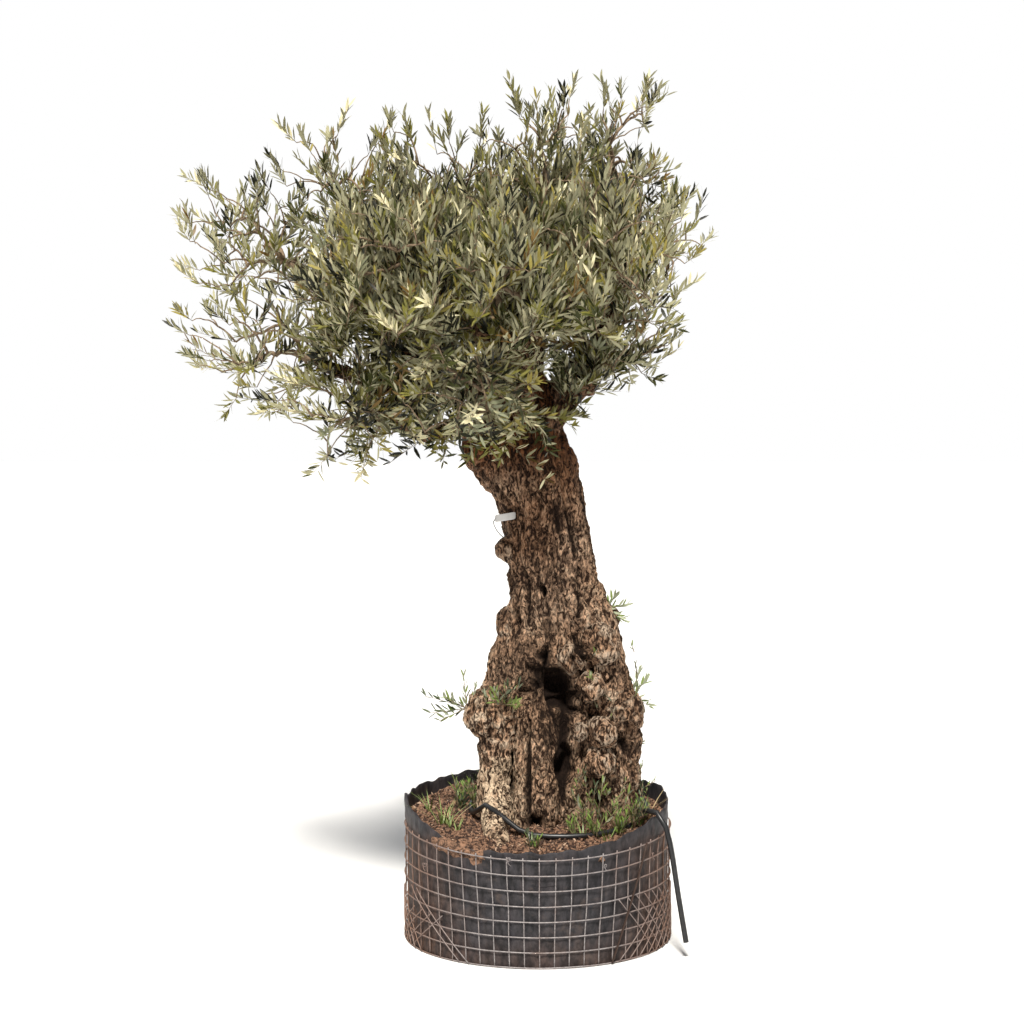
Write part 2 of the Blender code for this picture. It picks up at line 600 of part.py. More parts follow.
def swelling(point):
    """How far the bark stands out at a point: ribs round the heart and lumps between them."""
    heart = STRANDS["heart"]
    centre = Vector(heart[-1][:3])
    for low, high in zip(heart, heart[1:]):
        if point.z < high[2]:
            share = min(max((point.z - low[2]) / (high[2] - low[2]), 0.0), 1.0)
            centre = Vector(low[:3]).lerp(Vector(high[:3]), share)
            break
    angle = math.atan2(point.y - centre.y, point.x - centre.x)
    wander, often = RIB_WANDER
    ribs = math.cos(RIBS * (angle + RIB_TWIST * point.z) + wander * math.sin(often * point.z))
    lumps = 1.0
    for across, along, up, start in LUMP_PLACES:
        lumps *= math.sin(across * point.x + along * point.y + up * point.z + start)
    inside = min(point.z - RIB_FOOT, RIB_TOP - point.z)
    grown = min(max(inside / RIB_FADE, 0.0), 1.0)
    return (RIB_HEIGHT * ribs + LUMP_HEIGHT * lumps) * grown


def make_trunk():
    """The trunk: twisted strands and burls fused, hollowed, cleft and cut flat at the soil."""
    shape = bmesh.new()
    for points in STRANDS.values():
        course = smooth_curve(points, STRAND_STEP)
        part = tube_mesh(course, [point[3] for point in course], 2)
        shape.from_mesh(part)
        bpy.data.meshes.remove(part)
    for x, y, z, radius in BURLS:
        bmesh.ops.create_icosphere(shape, subdivisions=2, radius=radius,
                                   matrix=Matrix.Translation((x, y, z)))
    block = add_bmesh("trunk_block", shape, work)
    remesh = block.modifiers.new("fuse", "REMESH")
    remesh.mode = "VOXEL"
    remesh.voxel_size = TRUNK_VOXEL
    soften = block.modifiers.new("soften", "SMOOTH")
    soften.factor = 0.5
    soften.iterations = 2
    fused = applied_mesh(block)
    moves = [vertex.normal * (swelling(vertex.co) - carved_depth(vertex.co))
             for vertex in fused.vertices]
    for vertex, move in zip(fused.vertices, moves):
        vertex.co += move
    faces = sum(len(face.vertices) - 2 for face in fused.polygons)
    coarse = add_object("trunk_coarse", fused, work)
    reduce = coarse.modifiers.new("reduce", "DECIMATE")
    reduce.ratio = TRUNK_TRIANGLES / faces
    mesh = largest_body(applied_mesh(coarse))
    shape = bmesh.new()
    shape.from_mesh(mesh)
    bmesh.ops.triangulate(shape, faces=shape.faces)
    everything = shape.verts[:] + shape.edges[:] + shape.faces[:]
    normal = Vector((0.0, -SOIL_RISE, 1.0)).normalized()
    place = Vector((0.0, 0.0, SOIL_MIDDLE)) + normal * CLEARANCE
    bmesh.ops.bisect_plane(shape, geom=everything, plane_co=place, plane_no=normal, clear_inner=True)
    rim = [edge for edge in shape.edges if edge.is_boundary]
    bmesh.ops.contextual_create(shape, geom=rim)
    trunk = add_bmesh("trunk", shape, olive, bark)
    return trunk


def bough_course(name):
    """A bough's course from its root, first to its own side and then up to its tip."""
    parent, share, root, lean, tip, radius_root, radius_tip = BOUGHS[name]
    if parent is not None:
        limb = bough_course(parent)
        root = limb[round(share * (len(limb) - 1))]
    start = Vector(root[:3])
    end = Vector(tip)
    side = start + Vector(lean) * BOUGH_LEAN
    middle = side.lerp(end, 0.5) - UP * BOUGH_SAG
    course = smooth_curve([start, side, middle, end], BOUGH_STEP)
    last = len(course) - 1
    return [(*point, radius_root + (radius_tip - radius_root) * index / last)
            for index, point in enumerate(course)]


def mesh_tree(mesh):
    """A search tree of a mesh's surface."""
    corners = [vertex.co for vertex in mesh.vertices]
    return BVHTree.FromPolygons(corners, [face.vertices for face in mesh.polygons])


def make_boughs(trunk):
    """Every bough, cut 0.3 mm clear of the limb that carries it and of its neighbours."""
    made = {"trunk": trunk}
    for name in BOUGHS:
        course = bough_course(name)
        mesh = tube_mesh([point[:3] for point in course], [point[3] for point in course], 1)
        for limb in made.values():
            cutter = grown_copy(limb.data, 1.6 * CLEARANCE)
            if mesh_tree(mesh).overlap(mesh_tree(cutter)):
                mesh = largest_body(boolean(mesh, "DIFFERENCE", cutter))
        made[name] = add_object(name, mesh, olive, bark)
    return made


# ------------------------------------------------------------------------------------- foliage

def leaf(shape, root, heading, face, length):
    """Add one leaf of six faces to a bmesh: long, pointed at both ends, flat below, ridged above."""
    heading = heading.normalized()
    across = heading.cross(face)
    if across.length < 0.05:
        across = heading.cross(Vector((1.0, 0.0, 0.0)))
    across.normalize()
    normal = across.cross(heading)
    half_width = across * (LEAF_WIDTH / 2 * length / LEAF_LENGTH)
    depth = normal * (LEAF_THICKNESS * length / LEAF_LENGTH)
    widest = root + heading * length * LEAF_WIDEST
    ends = [shape.verts.new(root), shape.verts.new(root + heading * length)]
    belt = [shape.verts.new(widest + step) for step in (half_width, depth, -half_width)]
    for index in range(3):
        first, second = belt[index], belt[(index + 1) % 3]
        shape.faces.new((ends[0], second, first))
        shape.faces.new((ends[1], first, second))


def sweep(shape, points, radii):
    """Add a closed three-sided twig that follows the points to a bmesh."""
    rings = []
    for index, (point, radius) in enumerate(zip(points, radii)):
        before = points[max(index - 1, 0)]
        after = points[min(index + 1, len(points) - 1)]
        axis = (after - before).normalized()
        across = axis.cross(TWIG_SIDE).normalized()
        ridge = axis.cross(across)
        ring = []
        for corner in range(3):
            angle = 2 * math.pi * corner / 3
            side = across * math.cos(angle) + ridge * math.sin(angle)
            ring.append(shape.verts.new(point + side * radius))
        rings.append(ring)
    for low, high in zip(rings, rings[1:]):
        for corner in range(3):
            beside = (corner + 1) % 3
            shape.faces.new((low[corner], low[beside], high[beside], high[corner]))
    shape.faces.new(rings[0][::-1])
    shape.faces.new(rings[-1])


class Space:
    """The room that one mass of foliage keeps to, clear of other masses and of every limb."""

    def __init__(self, name, limbs):
        """Keep the mass's name and the limbs' surfaces."""
        self.name = name
        self.limbs = limbs

    def reaches(self, point, share):
        """True where a point is no further out than a share of the mass's reach."""
        if self.name not in MASSES:
            return True
        _foot, centre, side, rise, _tips = MASSES[self.name]
        out = point - Vector(centre)
        return (out.x ** 2 + out.y ** 2) / side ** 2 + out.z ** 2 / rise ** 2 < share ** 2

    def holds(self, point):
        """True where a point is nearer to this mass than to any other, by centre and reach."""
        if self.name not in MASSES:
            return True
        _foot, centre, side, _rise, _tips = MASSES[self.name]
        own = (point - Vector(centre)).length_squared - side ** 2
        for name, (_foot, other, reach, _rise, _tips) in MASSES.items():
            if name == self.name:
                continue
            away = (Vector(other) - Vector(centre)).length
            border = (point - Vector(other)).length_squared - reach ** 2 - own
            if border < 2 * CELL_MARGIN * away:
                return False
        return True

    def clear(self, points, margin):
        """True where a path stays off every limb."""
        for start, end in zip(points, points[1:]):
            steps = max(1, round((end - start).length / PROBE_STEP))
            for index in range(steps + 1):
                point = start.lerp(end, index / steps)
                if any(tree.find_nearest(point, margin)[0] is not None for tree in self.limbs):
                    return False
        return True

    def fits(self, shape, points, radius):
        """True where a whole leaf or twig lies in the room."""
        if not all(self.holds(vertex.co) for vertex in shape.verts):
            return False
        skin = BVHTree.FromBMesh(shape)
        if any(skin.overlap(limb) for limb in self.limbs):
            return False
        return self.clear(points, radius + LIMB_MARGIN)


def even_spread(rng, space, centre, side, rise, count):
    """Places spread evenly through the mass's reach, most of them towards its outside."""
    chosen = []
    for _index in range(count):
        best = None
        best_gap = -1.0
        for _try in range(SHOOT_TRIES):
            place = Vector((rng.uniform(-1, 1), rng.uniform(-1, 1), rng.uniform(-1, 1)))
            if not SHOOT_BAND[0] < place.length < SHOOT_BAND[1]:
                continue
            point = centre + Vector((place.x * side, place.y * side, place.z * rise))
            if not space.holds(point) or not space.clear([point, point], SHOOT_GAP):
                continue
            gap = min([(point - other).length for other in chosen], default=1.0)
            if gap > best_gap:
                best = point
                best_gap = gap
        if best is not None:
            chosen.append(best)
    return chosen


def branch_courses(start, target):
    """Ways from a node out to a target: arched a little, sagging a little, or straight."""
    way = target - start
    if way.length < SHORT_SHOOT:
        return [[start, target]]
    return [[start, start.lerp(target, 0.5) + UP * bend * way.length, target]
            for bend in SHOOT_BENDS]


def first_clear(space, courses):
    """The first course that stays in the space and off the limbs, or None."""
    for course in courses:
        test = [course[0].lerp(course[1], 0.35)] + course[1:]
        inside = all(space.holds(point) for point in course[1:])
        if inside and space.clear(test, TWIG_RADIUS + LIMB_MARGIN):
            return course
    return None


def grow_twigs(foot, heading, stub, targets, leaders, space):
    """Branches joined to a stem, each at the nearest node that gives it a clear way out."""
    points = [foot, foot + heading * stub]
    parents = [None, 0]
    run = [0.0, stub]
    branches = []
    goals = [(target, False) for target in targets] + [(target, True) for target in leaders]
    goals.sort(key=lambda goal: (goal[0] - foot).length)
    for target, leader in goals:
        costs = [((target - points[index]).length + DETOUR_COST * run[index], index)
                 for index in range(1, len(points))]
        for _cost, index in sorted(costs)[:NODES_TRIED]:
            course = first_clear(space, branch_courses(points[index], target))
            if course is None:
                continue
            branch = [index]
            for point in course[1:]:
                parents.append(branch[-1])
                run.append(run[branch[-1]] + (point - points[branch[-1]]).length)
                points.append(point)
                branch.append(len(points) - 1)
            branches.append((branch, leader))
            break
    return points, parents, branches


def leaf_places(rng, points, radii, pairs):
    """Root, axis and side of the leaves of one branch: opposite pairs, and one at the end."""
    places = []
    turn = rng.uniform(0.0, math.pi)
    start, end = points[-2], points[-1]
    axis = (end - start).normalized()
    for pair in range(pairs):
        side = axis.orthogonal().normalized()
        side.rotate(Matrix.Rotation(turn + pair * math.pi / 2, 3, axis))
        for way in (side, -side):
            places.append((start.lerp(end, LEAF_NODES[pair % 2]), axis, way))
    places.append((end - axis * radii[-1] * 1.5, axis, Vector()))
    return places


def add_leaf(rng, space, placed, root, axis, side, length, thin, leader):
    """Put a leaf in the scraps where it fits, turned or shortened if it must be."""
    for attempt in range(LEAF_TRIES):
        stray = Vector((rng.uniform(-1, 1), rng.uniform(-1, 1), rng.uniform(-1, 1)))
        way = axis * LEAF_LEAN + side + UP * LEAF_LIFT + stray * LEAF_STRAY * attempt
        way.normalize()
        long = length * rng.uniform(0.9, 1.0) * LEAF_SHRINK ** attempt
        face = Vector((rng.uniform(-1, 1), rng.uniform(-1, 1), rng.uniform(0, 1.2)))
        shape = bmesh.new()
        leaf(shape, root, way, face, long)
        tree = BVHTree.FromBMesh(shape)
        free = leader or space.reaches(root + way * long, LEAF_REACH)
        free = free and space.fits(shape, [root, root + way * long], thin)
        if free and not any(tree.overlap(other) for other in placed):
            add_bmesh("leaf", shape, scraps)
            placed.append(tree)
            return 1
        shape.free()
    return 0


def grow(name, foot, heading, stem_radius, goals, space, size, seed):
    """Grow one mass from its foot and fuse its twigs and leaves to one body."""
    targets, leaders = goals
    stub, leaf_length, thin, pairs = size
    rng = random.Random(seed)
    points, parents, branches = grow_twigs(foot, heading, stub, targets, leaders, space)
    carried = [0] * len(points)
    for branch, _leader in branches:
        index = branch[-1]
        while index is not None:
            carried[index] += 1
            index = parents[index]
    radii = [min(stem_radius, thin * max(1, count) ** 0.5) for count in carried]
    stem = bmesh.new()
    sweep(stem, points[:2], (stem_radius, radii[1]))
    count = 0
    placed = []
    for branch, leader in branches:
        course = [points[index] for index in branch]
        sizes = [radii[branch[1]]] + [radii[index] for index in branch[1:]]
        sizes[-1] = thin * TWIG_TIP
        shape = bmesh.new()
        sweep(shape, course, sizes)
        twig = BVHTree.FromBMesh(shape)
        add_bmesh("twig", shape, scraps)
        for root, axis, side in leaf_places(rng, course, sizes, 1 if leader else pairs):
            count += add_leaf(rng, space, placed, root, axis, side, leaf_length, thin, leader)
        placed.append(twig)
    print(f"{name:26s} {len(branches)} of {len(targets) + len(leaders)} branches, {count} leaves")
    mesh = bpy.data.meshes.new(name)
    bmesh.ops.recalc_face_normals(stem, faces=stem.faces)
    stem.to_mesh(mesh)
    stem.free()
    mesh = largest_body(boolean(mesh, "UNION", cutter_group=scraps))
    clear_scraps()
    add_object(name, mesh, olive, leaf_green)
    return count


def clear_scraps():
    """Remove the bits that a union has used."""
    for spare in list(scraps.objects):
        mesh = spare.data
        bpy.data.objects.remove(spare)
        bpy.data.meshes.remove(mesh)


def nearest_bark(trunk_tree, aim):
    """The point of the bark nearest to an aim, and the bark's normal there."""
    point, normal, _index, _gap = trunk_tree.find_nearest(Vector(aim))
    return point, normal


def make_foliage(made):
    """Every mass, sprig and sucker; returns the number of leaves."""
    trees = {name: mesh_tree(limb.data) for name, limb in made.items()}
    limbs = list(trees.values())
    mass_size = (MASS_STUB, LEAF_LENGTH, TWIG_RADIUS, LEAF_PAIRS)
    sprig_size = (SPRIG_STUB, SPRIG_LEAF_LENGTH, TWIG_RADIUS / 2, 1)
    count = 0
    for number, (name, (carrier, middle, side, rise, tips)) in enumerate(MASSES.items()):
        space = Space(name, limbs)
        centre = Vector(middle)
        rng = random.Random(100 + number)
        if isinstance(carrier, str):
            course = bough_course(carrier)
            tip = Vector(course[-1][:3])
            heading = (tip - Vector(course[-2][:3])).normalized()
            radius = course[-1][3]
        else:
            tip, heading = nearest_bark(trees["trunk"], carrier)
            radius = TRUNK_STEM
        targets = even_spread(rng, space, centre, side, rise, SHOOTS_PER_MASS)
        leaders = []
        for far_tip in tips:
            way = Vector(far_tip) - tip
            leaders.append(Vector(far_tip) - way.normalized() * LEAF_LENGTH * 0.95)
        goals = (targets, leaders)
        count += grow(name, tip + heading * CLEARANCE, heading, radius, goals, space, mass_size,
                      200 + number)
    feet = []
    for name, (aim, tips) in SPRIGS.items():
        foot, normal = nearest_bark(trees["trunk"], aim)
        feet.append((name, foot, normal, tips))
    for name, (place, tips) in SUCKERS.items():
        foot = Vector((*place, soil_height(*place)))
        feet.append((name, foot, Vector((0.0, -SOIL_RISE, 1.0)).normalized(), tips))
    for number, (name, foot, normal, tips) in enumerate(feet):
        goals = ([], [Vector(tip) for tip in tips])
        count += grow(name, foot + normal * CLEARANCE, normal, SPRIG_STEM, goals,
                      Space(name, limbs), sprig_size, 300 + number)
    return count


def make_tag(trunk_tree):
    """The blank tag: a thin strip standing on a short loop of strap against the bark."""
    foot, normal = nearest_bark(trunk_tree, TAG_PLACE)
    out = Vector((normal.x, normal.y, 0.0)).normalized()
    start = foot + normal * CLEARANCE
    shape = bmesh.new()
    rod(shape, start, start + normal * TAG_STAND, TAG_PIN, TAG_PIN)
    strap = bmesh.new()
    across = out.cross(UP)
    centre = start + normal * TAG_STAND + across * TAG_SHIFT
    turn = Matrix((across, out, UP)).transposed().to_4x4()
    size = Matrix.Diagonal((TAG_LENGTH, TAG_THICKNESS, TAG_WIDTH, 1.0))
    bmesh.ops.create_cube(strap, size=1.0, matrix=Matrix.Translation(centre) @ turn @ size)
    add_bmesh("strip", strap, scraps)
    mesh = bpy.data.meshes.new("pin")
    shape.to_mesh(mesh)
    shape.free()
    mesh = boolean(mesh, "UNION", cutter_group=scraps)
    clear_scraps()
    return add_object("nursery_tag", mesh, olive, tag_white)


for old in list(bpy.data.objects):
    bpy.data.objects.remove(old)

olive = collection("potted_olive_tree")
cutters = collection("cutters")
work = collection("work")
scraps = collection("scraps")

bark = material("bark", (0.23, 0.16, 0.11), 0.85)
leaf_green = material("leaf", (0.19, 0.22, 0.11), 0.55)
liner_black = material("liner", (0.05, 0.05, 0.055), 0.6)
soil_brown = material("soil", (0.20, 0.12, 0.08), 0.95)
wire_grey = material("wire", (0.45, 0.43, 0.43), 0.45, 0.8)
hose_black = material("hose", (0.02, 0.02, 0.022), 0.4)
tag_white = material("tag", (0.8, 0.8, 0.78), 0.5)

trunk_object = make_trunk()
limbs_made = make_boughs(trunk_object)
make_liner()
make_soil()
make_cage()
make_hose()
leaf_count = make_foliage(limbs_made)
make_tag(mesh_tree(trunk_object.data))

for item in olive.objects:
    item.data.shade_flat()
total = 0
for item in olive.objects:
    triangles = sum(len(face.vertices) - 2 for face in item.data.polygons)
    total += triangles
    print(f"{item.name:26s} {triangles:6d} triangles")
print(f"{leaf_count} leaves, {total} triangles in all")
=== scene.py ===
# %% [markdown]
# # An old olive tree in a wire mesh pot
# The tree is a large bonsai: a trunk of twisted strands and burls, a spreading crown of small
# grey-green leaves, and a pot of black liner held by welded mesh. The solids of the tree come from
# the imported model. Each step below puts a finer piece in the place of some of them. Every new
# shape is worked out with numpy as whole arrays of points, then put into a Blender mesh at once.

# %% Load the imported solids
import math
import bpy
import numpy as np
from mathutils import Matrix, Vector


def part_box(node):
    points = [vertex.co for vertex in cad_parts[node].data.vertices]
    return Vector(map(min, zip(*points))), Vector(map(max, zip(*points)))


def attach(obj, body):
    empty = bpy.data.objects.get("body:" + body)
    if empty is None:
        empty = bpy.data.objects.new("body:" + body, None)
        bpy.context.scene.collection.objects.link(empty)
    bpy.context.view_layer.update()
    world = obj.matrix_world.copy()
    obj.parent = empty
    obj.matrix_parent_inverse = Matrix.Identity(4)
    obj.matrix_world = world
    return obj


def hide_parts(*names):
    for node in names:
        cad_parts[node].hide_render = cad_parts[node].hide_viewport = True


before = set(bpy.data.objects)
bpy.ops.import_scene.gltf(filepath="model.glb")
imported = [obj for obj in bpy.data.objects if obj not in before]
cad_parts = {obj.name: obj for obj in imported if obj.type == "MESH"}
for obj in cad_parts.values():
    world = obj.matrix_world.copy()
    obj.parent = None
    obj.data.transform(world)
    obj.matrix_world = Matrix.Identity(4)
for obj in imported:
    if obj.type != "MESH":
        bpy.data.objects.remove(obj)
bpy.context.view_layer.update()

# %% [markdown]
# ## The camera
# The tree is seen from the front, at about half its height, from five metres away. A camera in
# Blender looks along its own -Z, so it is turned up by almost a right angle. A lens of 58 mm on a
# sensor of 36 mm gives the narrow view of someone who stands well back from a tall plant.

# %% Set the camera
CAMERA_PLACE = (-0.078, -5.0, 1.5)
CAMERA_PITCH = math.radians(2.4)
LENS = 58.0
SENSOR = 36.0


def put_in_scene(name, data):
    """An object with some data, linked to the scene."""
    thing = bpy.data.objects.new(name, data)
    bpy.context.scene.collection.objects.link(thing)
    return thing


camera_data = bpy.data.cameras.new("camera")
camera_data.lens = LENS
camera_data.sensor_width = SENSOR
camera = put_in_scene("camera", camera_data)
camera.location = CAMERA_PLACE
camera.rotation_euler = (math.pi / 2 - CAMERA_PITCH, 0.0, 0.0)
bpy.context.scene.camera = camera
print("camera at", CAMERA_PLACE)

# %% [markdown]
# ## Arrays into meshes
# A mesh is a list of points and a list of faces. Filling it point by point is slow, so both go in
# as whole arrays with foreach_set. All faces here are triangles, which keeps the arrays simple.
# Every piece then rides on the one body of the tree, because nothing on it moves.

# %% A helper that turns arrays into a piece
UP = np.array([0.0, 0.0, 1.0])


def new_mesh(name, points, triangles):
    """A mesh from points (n, 3) and triangles (m, 3)."""
    mesh = bpy.data.meshes.new(name)
    mesh.vertices.add(len(points))
    mesh.vertices.foreach_set("co", np.asarray(points, np.float32).ravel())
    mesh.loops.add(triangles.size)
    mesh.loops.foreach_set("vertex_index", np.asarray(triangles, np.int32).ravel())
    mesh.polygons.add(len(triangles))
    mesh.polygons.foreach_set("loop_start", np.arange(0, triangles.size, 3, dtype=np.int32))
    mesh.update(calc_edges=True)
    return mesh


def new_piece(name, points, triangles, finishes, slot, replaced=(), smooth=True):
    """A piece of the object: its mesh, its finishes and the solids it stands for. The slot it belongs to is not used.
    """
    mesh = new_mesh(name, points, triangles)
    if smooth:
        mesh.shade_smooth()
    for finish in finishes:
        mesh.materials.append(finish)
    piece = put_in_scene(name, mesh)
    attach(piece, "root")
    if replaced:
        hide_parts(*replaced)
    print(f"{name}: {len(points)} points, {len(triangles)} triangles")
    return piece


def joined(parts):
    """Several (points, triangles) pairs as one: each part's triangles count on from the last."""
    points = np.concatenate([part[0] for part in parts])
    starts = np.cumsum([0] + [len(part[0]) for part in parts[:-1]])
    triangles = np.concatenate([part[1] + start for part, start in zip(parts, starts)])
    return points, triangles


def unit(vectors):
    """Vectors divided by their own length."""
    length = np.linalg.norm(vectors, axis=-1, keepdims=True)
    return vectors / np.maximum(length, 1e-9)


def held(values):
    """Values held between 0 and 1."""
    return np.clip(values, 0, 1)


def tag_points(piece, name, values):
    """Store one number per point under a name that a material can read."""
    layer = piece.data.attributes.new(name, "FLOAT", "POINT")
    layer.data.foreach_set("value", np.asarray(values, np.float32))


def deal_finishes(piece, numbers):
    """Give each triangle of a piece the number of its finish."""
    piece.data.polygons.foreach_set("material_index", np.asarray(numbers, np.int32))


print("mesh helpers ready")

# %% [markdown]
# ## Tubes along paths
# Wires, hose, boughs and twigs are all round things that follow a line. A circle is stood square
# to the line at each of its points, and neighbouring circles are joined by triangles. One function
# does this for any number of lines at once, so thousands of twigs take a moment.

# %% Smooth curves and tubes


def smooth_curve(points, step):
    """Catmull-Rom curve: a cubic between each two points whose slope at a point is half the way
    from the point before to the point after, cut to equal steps along its length."""
    points = np.asarray(points, float)
    ends = np.vstack([2 * points[0] - points[1], points, 2 * points[-1] - points[-2]])
    t = np.linspace(0, 1, 20, endpoint=False)[None, :, None]
    before, start, end, after = (ends[i:len(ends) - 3 + i][:, None, :] for i in range(4))
    fine = 0.5 * (2 * start + (end - before) * t
                  + (2 * before - 5 * start + 4 * end - after) * t ** 2
                  + (3 * start - before - 3 * end + after) * t ** 3)
    fine = np.vstack([fine.reshape(-1, points.shape[1]), points[-1]])
    run = np.concatenate([[0], np.cumsum(np.linalg.norm(np.diff(fine, axis=0), axis=1))])
    wanted = np.linspace(0, run[-1], max(2, round(run[-1] / step)) + 1)
    return np.column_stack([np.interp(wanted, run, fine[:, i]) for i in range(fine.shape[1])])


def sweep(paths, radii, sides, hint=(0.31, 0.83, 0.46), closed=False):
    """Tubes along paths (n, k, 3) of one radius or of radii (n, k). Around each path point stand
    the points path + radius * (cos a * across + sin a * ridge), where across and ridge are square
    to the path. Open tubes get a flat fan at both ends; closed ones join last ring to first."""
    paths = np.asarray(paths, float)
    radii = np.broadcast_to(np.asarray(radii, float), paths.shape[:2])
    count, rings = paths.shape[:2]
    if closed:
        ahead = unit(np.roll(paths, -1, axis=1) - np.roll(paths, 1, axis=1))
    else:
        ahead = unit(np.gradient(paths, axis=1))
    across = unit(np.cross(ahead, np.broadcast_to(hint, ahead.shape)))
    ridge = np.cross(ahead, across)
    turn = 2 * np.pi * np.arange(sides) / sides
    ring = (np.cos(turn)[:, None] * across[:, :, None] + np.sin(turn)[:, None] * ridge[:, :, None])
    points = (paths[:, :, None] + radii[:, :, None, None] * ring).reshape(-1, 3)
    last = rings if closed else rings - 1
    low, side = np.meshgrid(np.arange(last), np.arange(sides), indexing="ij")
    low, side = low.ravel(), side.ravel()
    high, beside = (low + 1) % rings, (side + 1) % sides
    a, b = low * sides + side, low * sides + beside
    c, d = high * sides + beside, high * sides + side
    one = [np.column_stack([a, b, c]), np.column_stack([a, c, d])]
    if not closed:
        fan = np.arange(1, sides - 1)
        foot = np.zeros_like(fan)
        tip = (rings - 1) * sides
        one += [np.column_stack([foot, fan + 1, fan]), np.column_stack([foot, fan, fan + 1]) + tip]
    one = np.concatenate(one)
    shift = (np.arange(count) * rings * sides)[:, None, None]
    return points, (one[None] + shift).reshape(-1, 3)


print("tubes ready")

# %% [markdown]
# ## Noise on arrays
# Bark, soil and folds are uneven at several sizes at once. Random numbers at the corners of a grid,
# mixed smoothly in between, give one size of bumps. Summing a few layers gives them all, and
# squeezing the places along Z first draws bumps out into upright strands. Blender has such textures
# too, but here the numbers move points, so they are worked out on the same arrays.

# %% Smooth noise and its layers


def noise(points, cell, seed=0):
    """Smooth random values from -1 to 1: a random number at each corner of a grid of cells, mixed
    across each cell by the curve 3t^2 - 2t^3 along the three axes."""
    grid = np.asarray(points) / cell
    base = np.floor(grid).astype(np.int64)
    part = grid - base
    part = part * part * (3 - 2 * part)
    total = np.zeros(len(grid))
    for corner in range(8):
        step = np.array([corner & 1, corner >> 1 & 1, corner >> 2 & 1])
        key = base + step
        mixed = (key[:, 0] * 73856093) ^ (key[:, 1] * 19349663) ^ (key[:, 2] * 83492791) ^ (seed * 9781)
        mixed = ((mixed ^ (mixed >> 13)) * 1274126177) & 0x7FFFFFFF
        mixed = (mixed ^ (mixed >> 15)) & 0xFFFF
        total += np.prod(np.where(step == 1, part, 1 - part), axis=1) * (mixed / 32767.5 - 1)
    return total


def speckle(points, cell, seed):
    """The same noise from 0 to 1."""
    return 0.5 + 0.5 * noise(points, cell, seed)


def ridged(points, cell, seed=0):
    """Noise folded at zero, so that it has sharp crests: 1 - 2 |noise|^0.8."""
    return 1 - 2 * np.abs(noise(points, cell, seed)) ** 0.8


def drift(points, cell, seed):
    """A smooth random shift of each point: one noise for each of X, Y and Z."""
    return np.column_stack([noise(points, cell, seed + i) for i in range(3)])


def layered(points, layers):
    """The sum of several noises; a layer is (kind, squeeze along Z, cell, seed, depth)."""
    return sum(kind(points * (1, 1, squeeze), cell, seed) * depth for kind, squeeze, cell, seed, depth in layers)


print("noise ready")

# %% [markdown]
# ## Finishes
# Real surfaces are never one colour. Each finish below starts from a plain colour and gets
# mottling, fine grain and dust from shader nodes. Two effects come back in many of them, so each is
# a node group built once: a grain that mixes two colours and gives a height for a bump, and a dust
# that lies on in soft patches.

# %% Two shared effects as node groups


def node_group(name, inputs, outputs):
    """An empty shader node group with named sockets; inputs are (name, kind, default)."""
    group = bpy.data.node_groups.new(name, "ShaderNodeTree")
    for label, kind, default in inputs:
        socket = group.interface.new_socket(label, in_out="INPUT", socket_type=kind)
        socket.default_value = default
    for label, kind in outputs:
        group.interface.new_socket(label, in_out="OUTPUT", socket_type=kind)
    return group, group.nodes.new("NodeGroupInput"), group.nodes.new("NodeGroupOutput")


def join_nodes(tree, *links):
    """Connect pairs of sockets."""
    for start, end in links:
        tree.links.new(start, end)


def set_inputs(node, values):
    """Give inputs of a node their values, by name or number; plain colours get their alpha."""
    for label, value in values.items():
        socket = node.inputs[label]
        socket.default_value = (*value, 1) if socket.type == "RGBA" else value


def put_node(tree, kind, values=None, operation=None):
    """A shader node of a kind, with the values of some inputs."""
    node = tree.nodes.new("ShaderNode" + kind)
    if operation:
        node.operation = operation
    set_inputs(node, values or {})
    return node


def put_group(tree, group, values):
    """A node group placed in a material with its own values."""
    node = put_node(tree, "Group")
    node.node_tree = group
    set_inputs(node, values)
    return node


def new_material(name):
    """A new material: itself, its node tree and its shader."""
    material = bpy.data.materials.new(name)
    material.use_nodes = True
    return material, material.node_tree, material.node_tree.nodes["Principled BSDF"]


def ramp(tree, source, low, high):
    """A soft step: 0 below low, 1 above high."""
    node = put_node(tree, "MapRange", {"From Min": low, "From Max": high})
    node.interpolation_type = "SMOOTHSTEP"
    tree.links.new(source, node.inputs["Value"])
    return node.outputs["Result"]


def mix_colour(tree, factor, first, second):
    """Mix two colours; each is a socket or a plain colour, and the factor a socket or a number."""
    node = put_node(tree, "Mix")
    node.data_type = "RGBA"
    for value, index in ((factor, 0), (first, 6), (second, 7)):
        if isinstance(value, bpy.types.NodeSocket):
            tree.links.new(value, node.inputs[index])
        else:
            set_inputs(node, {index: value})
    return node.outputs[2]


print("shader helpers ready")

# %% [markdown]
# The grain takes one noise, squeezes its middle range by the contrast and mixes a dark and a light
# colour by it. The dust uses a second, wider noise as its mask: where it passes a threshold, the
# colour turns to dust and the surface grows rougher.

# %% The grain and the dust
COLOUR, NUMBER, VECTOR = "NodeSocketColor", "NodeSocketFloat", "NodeSocketVector"

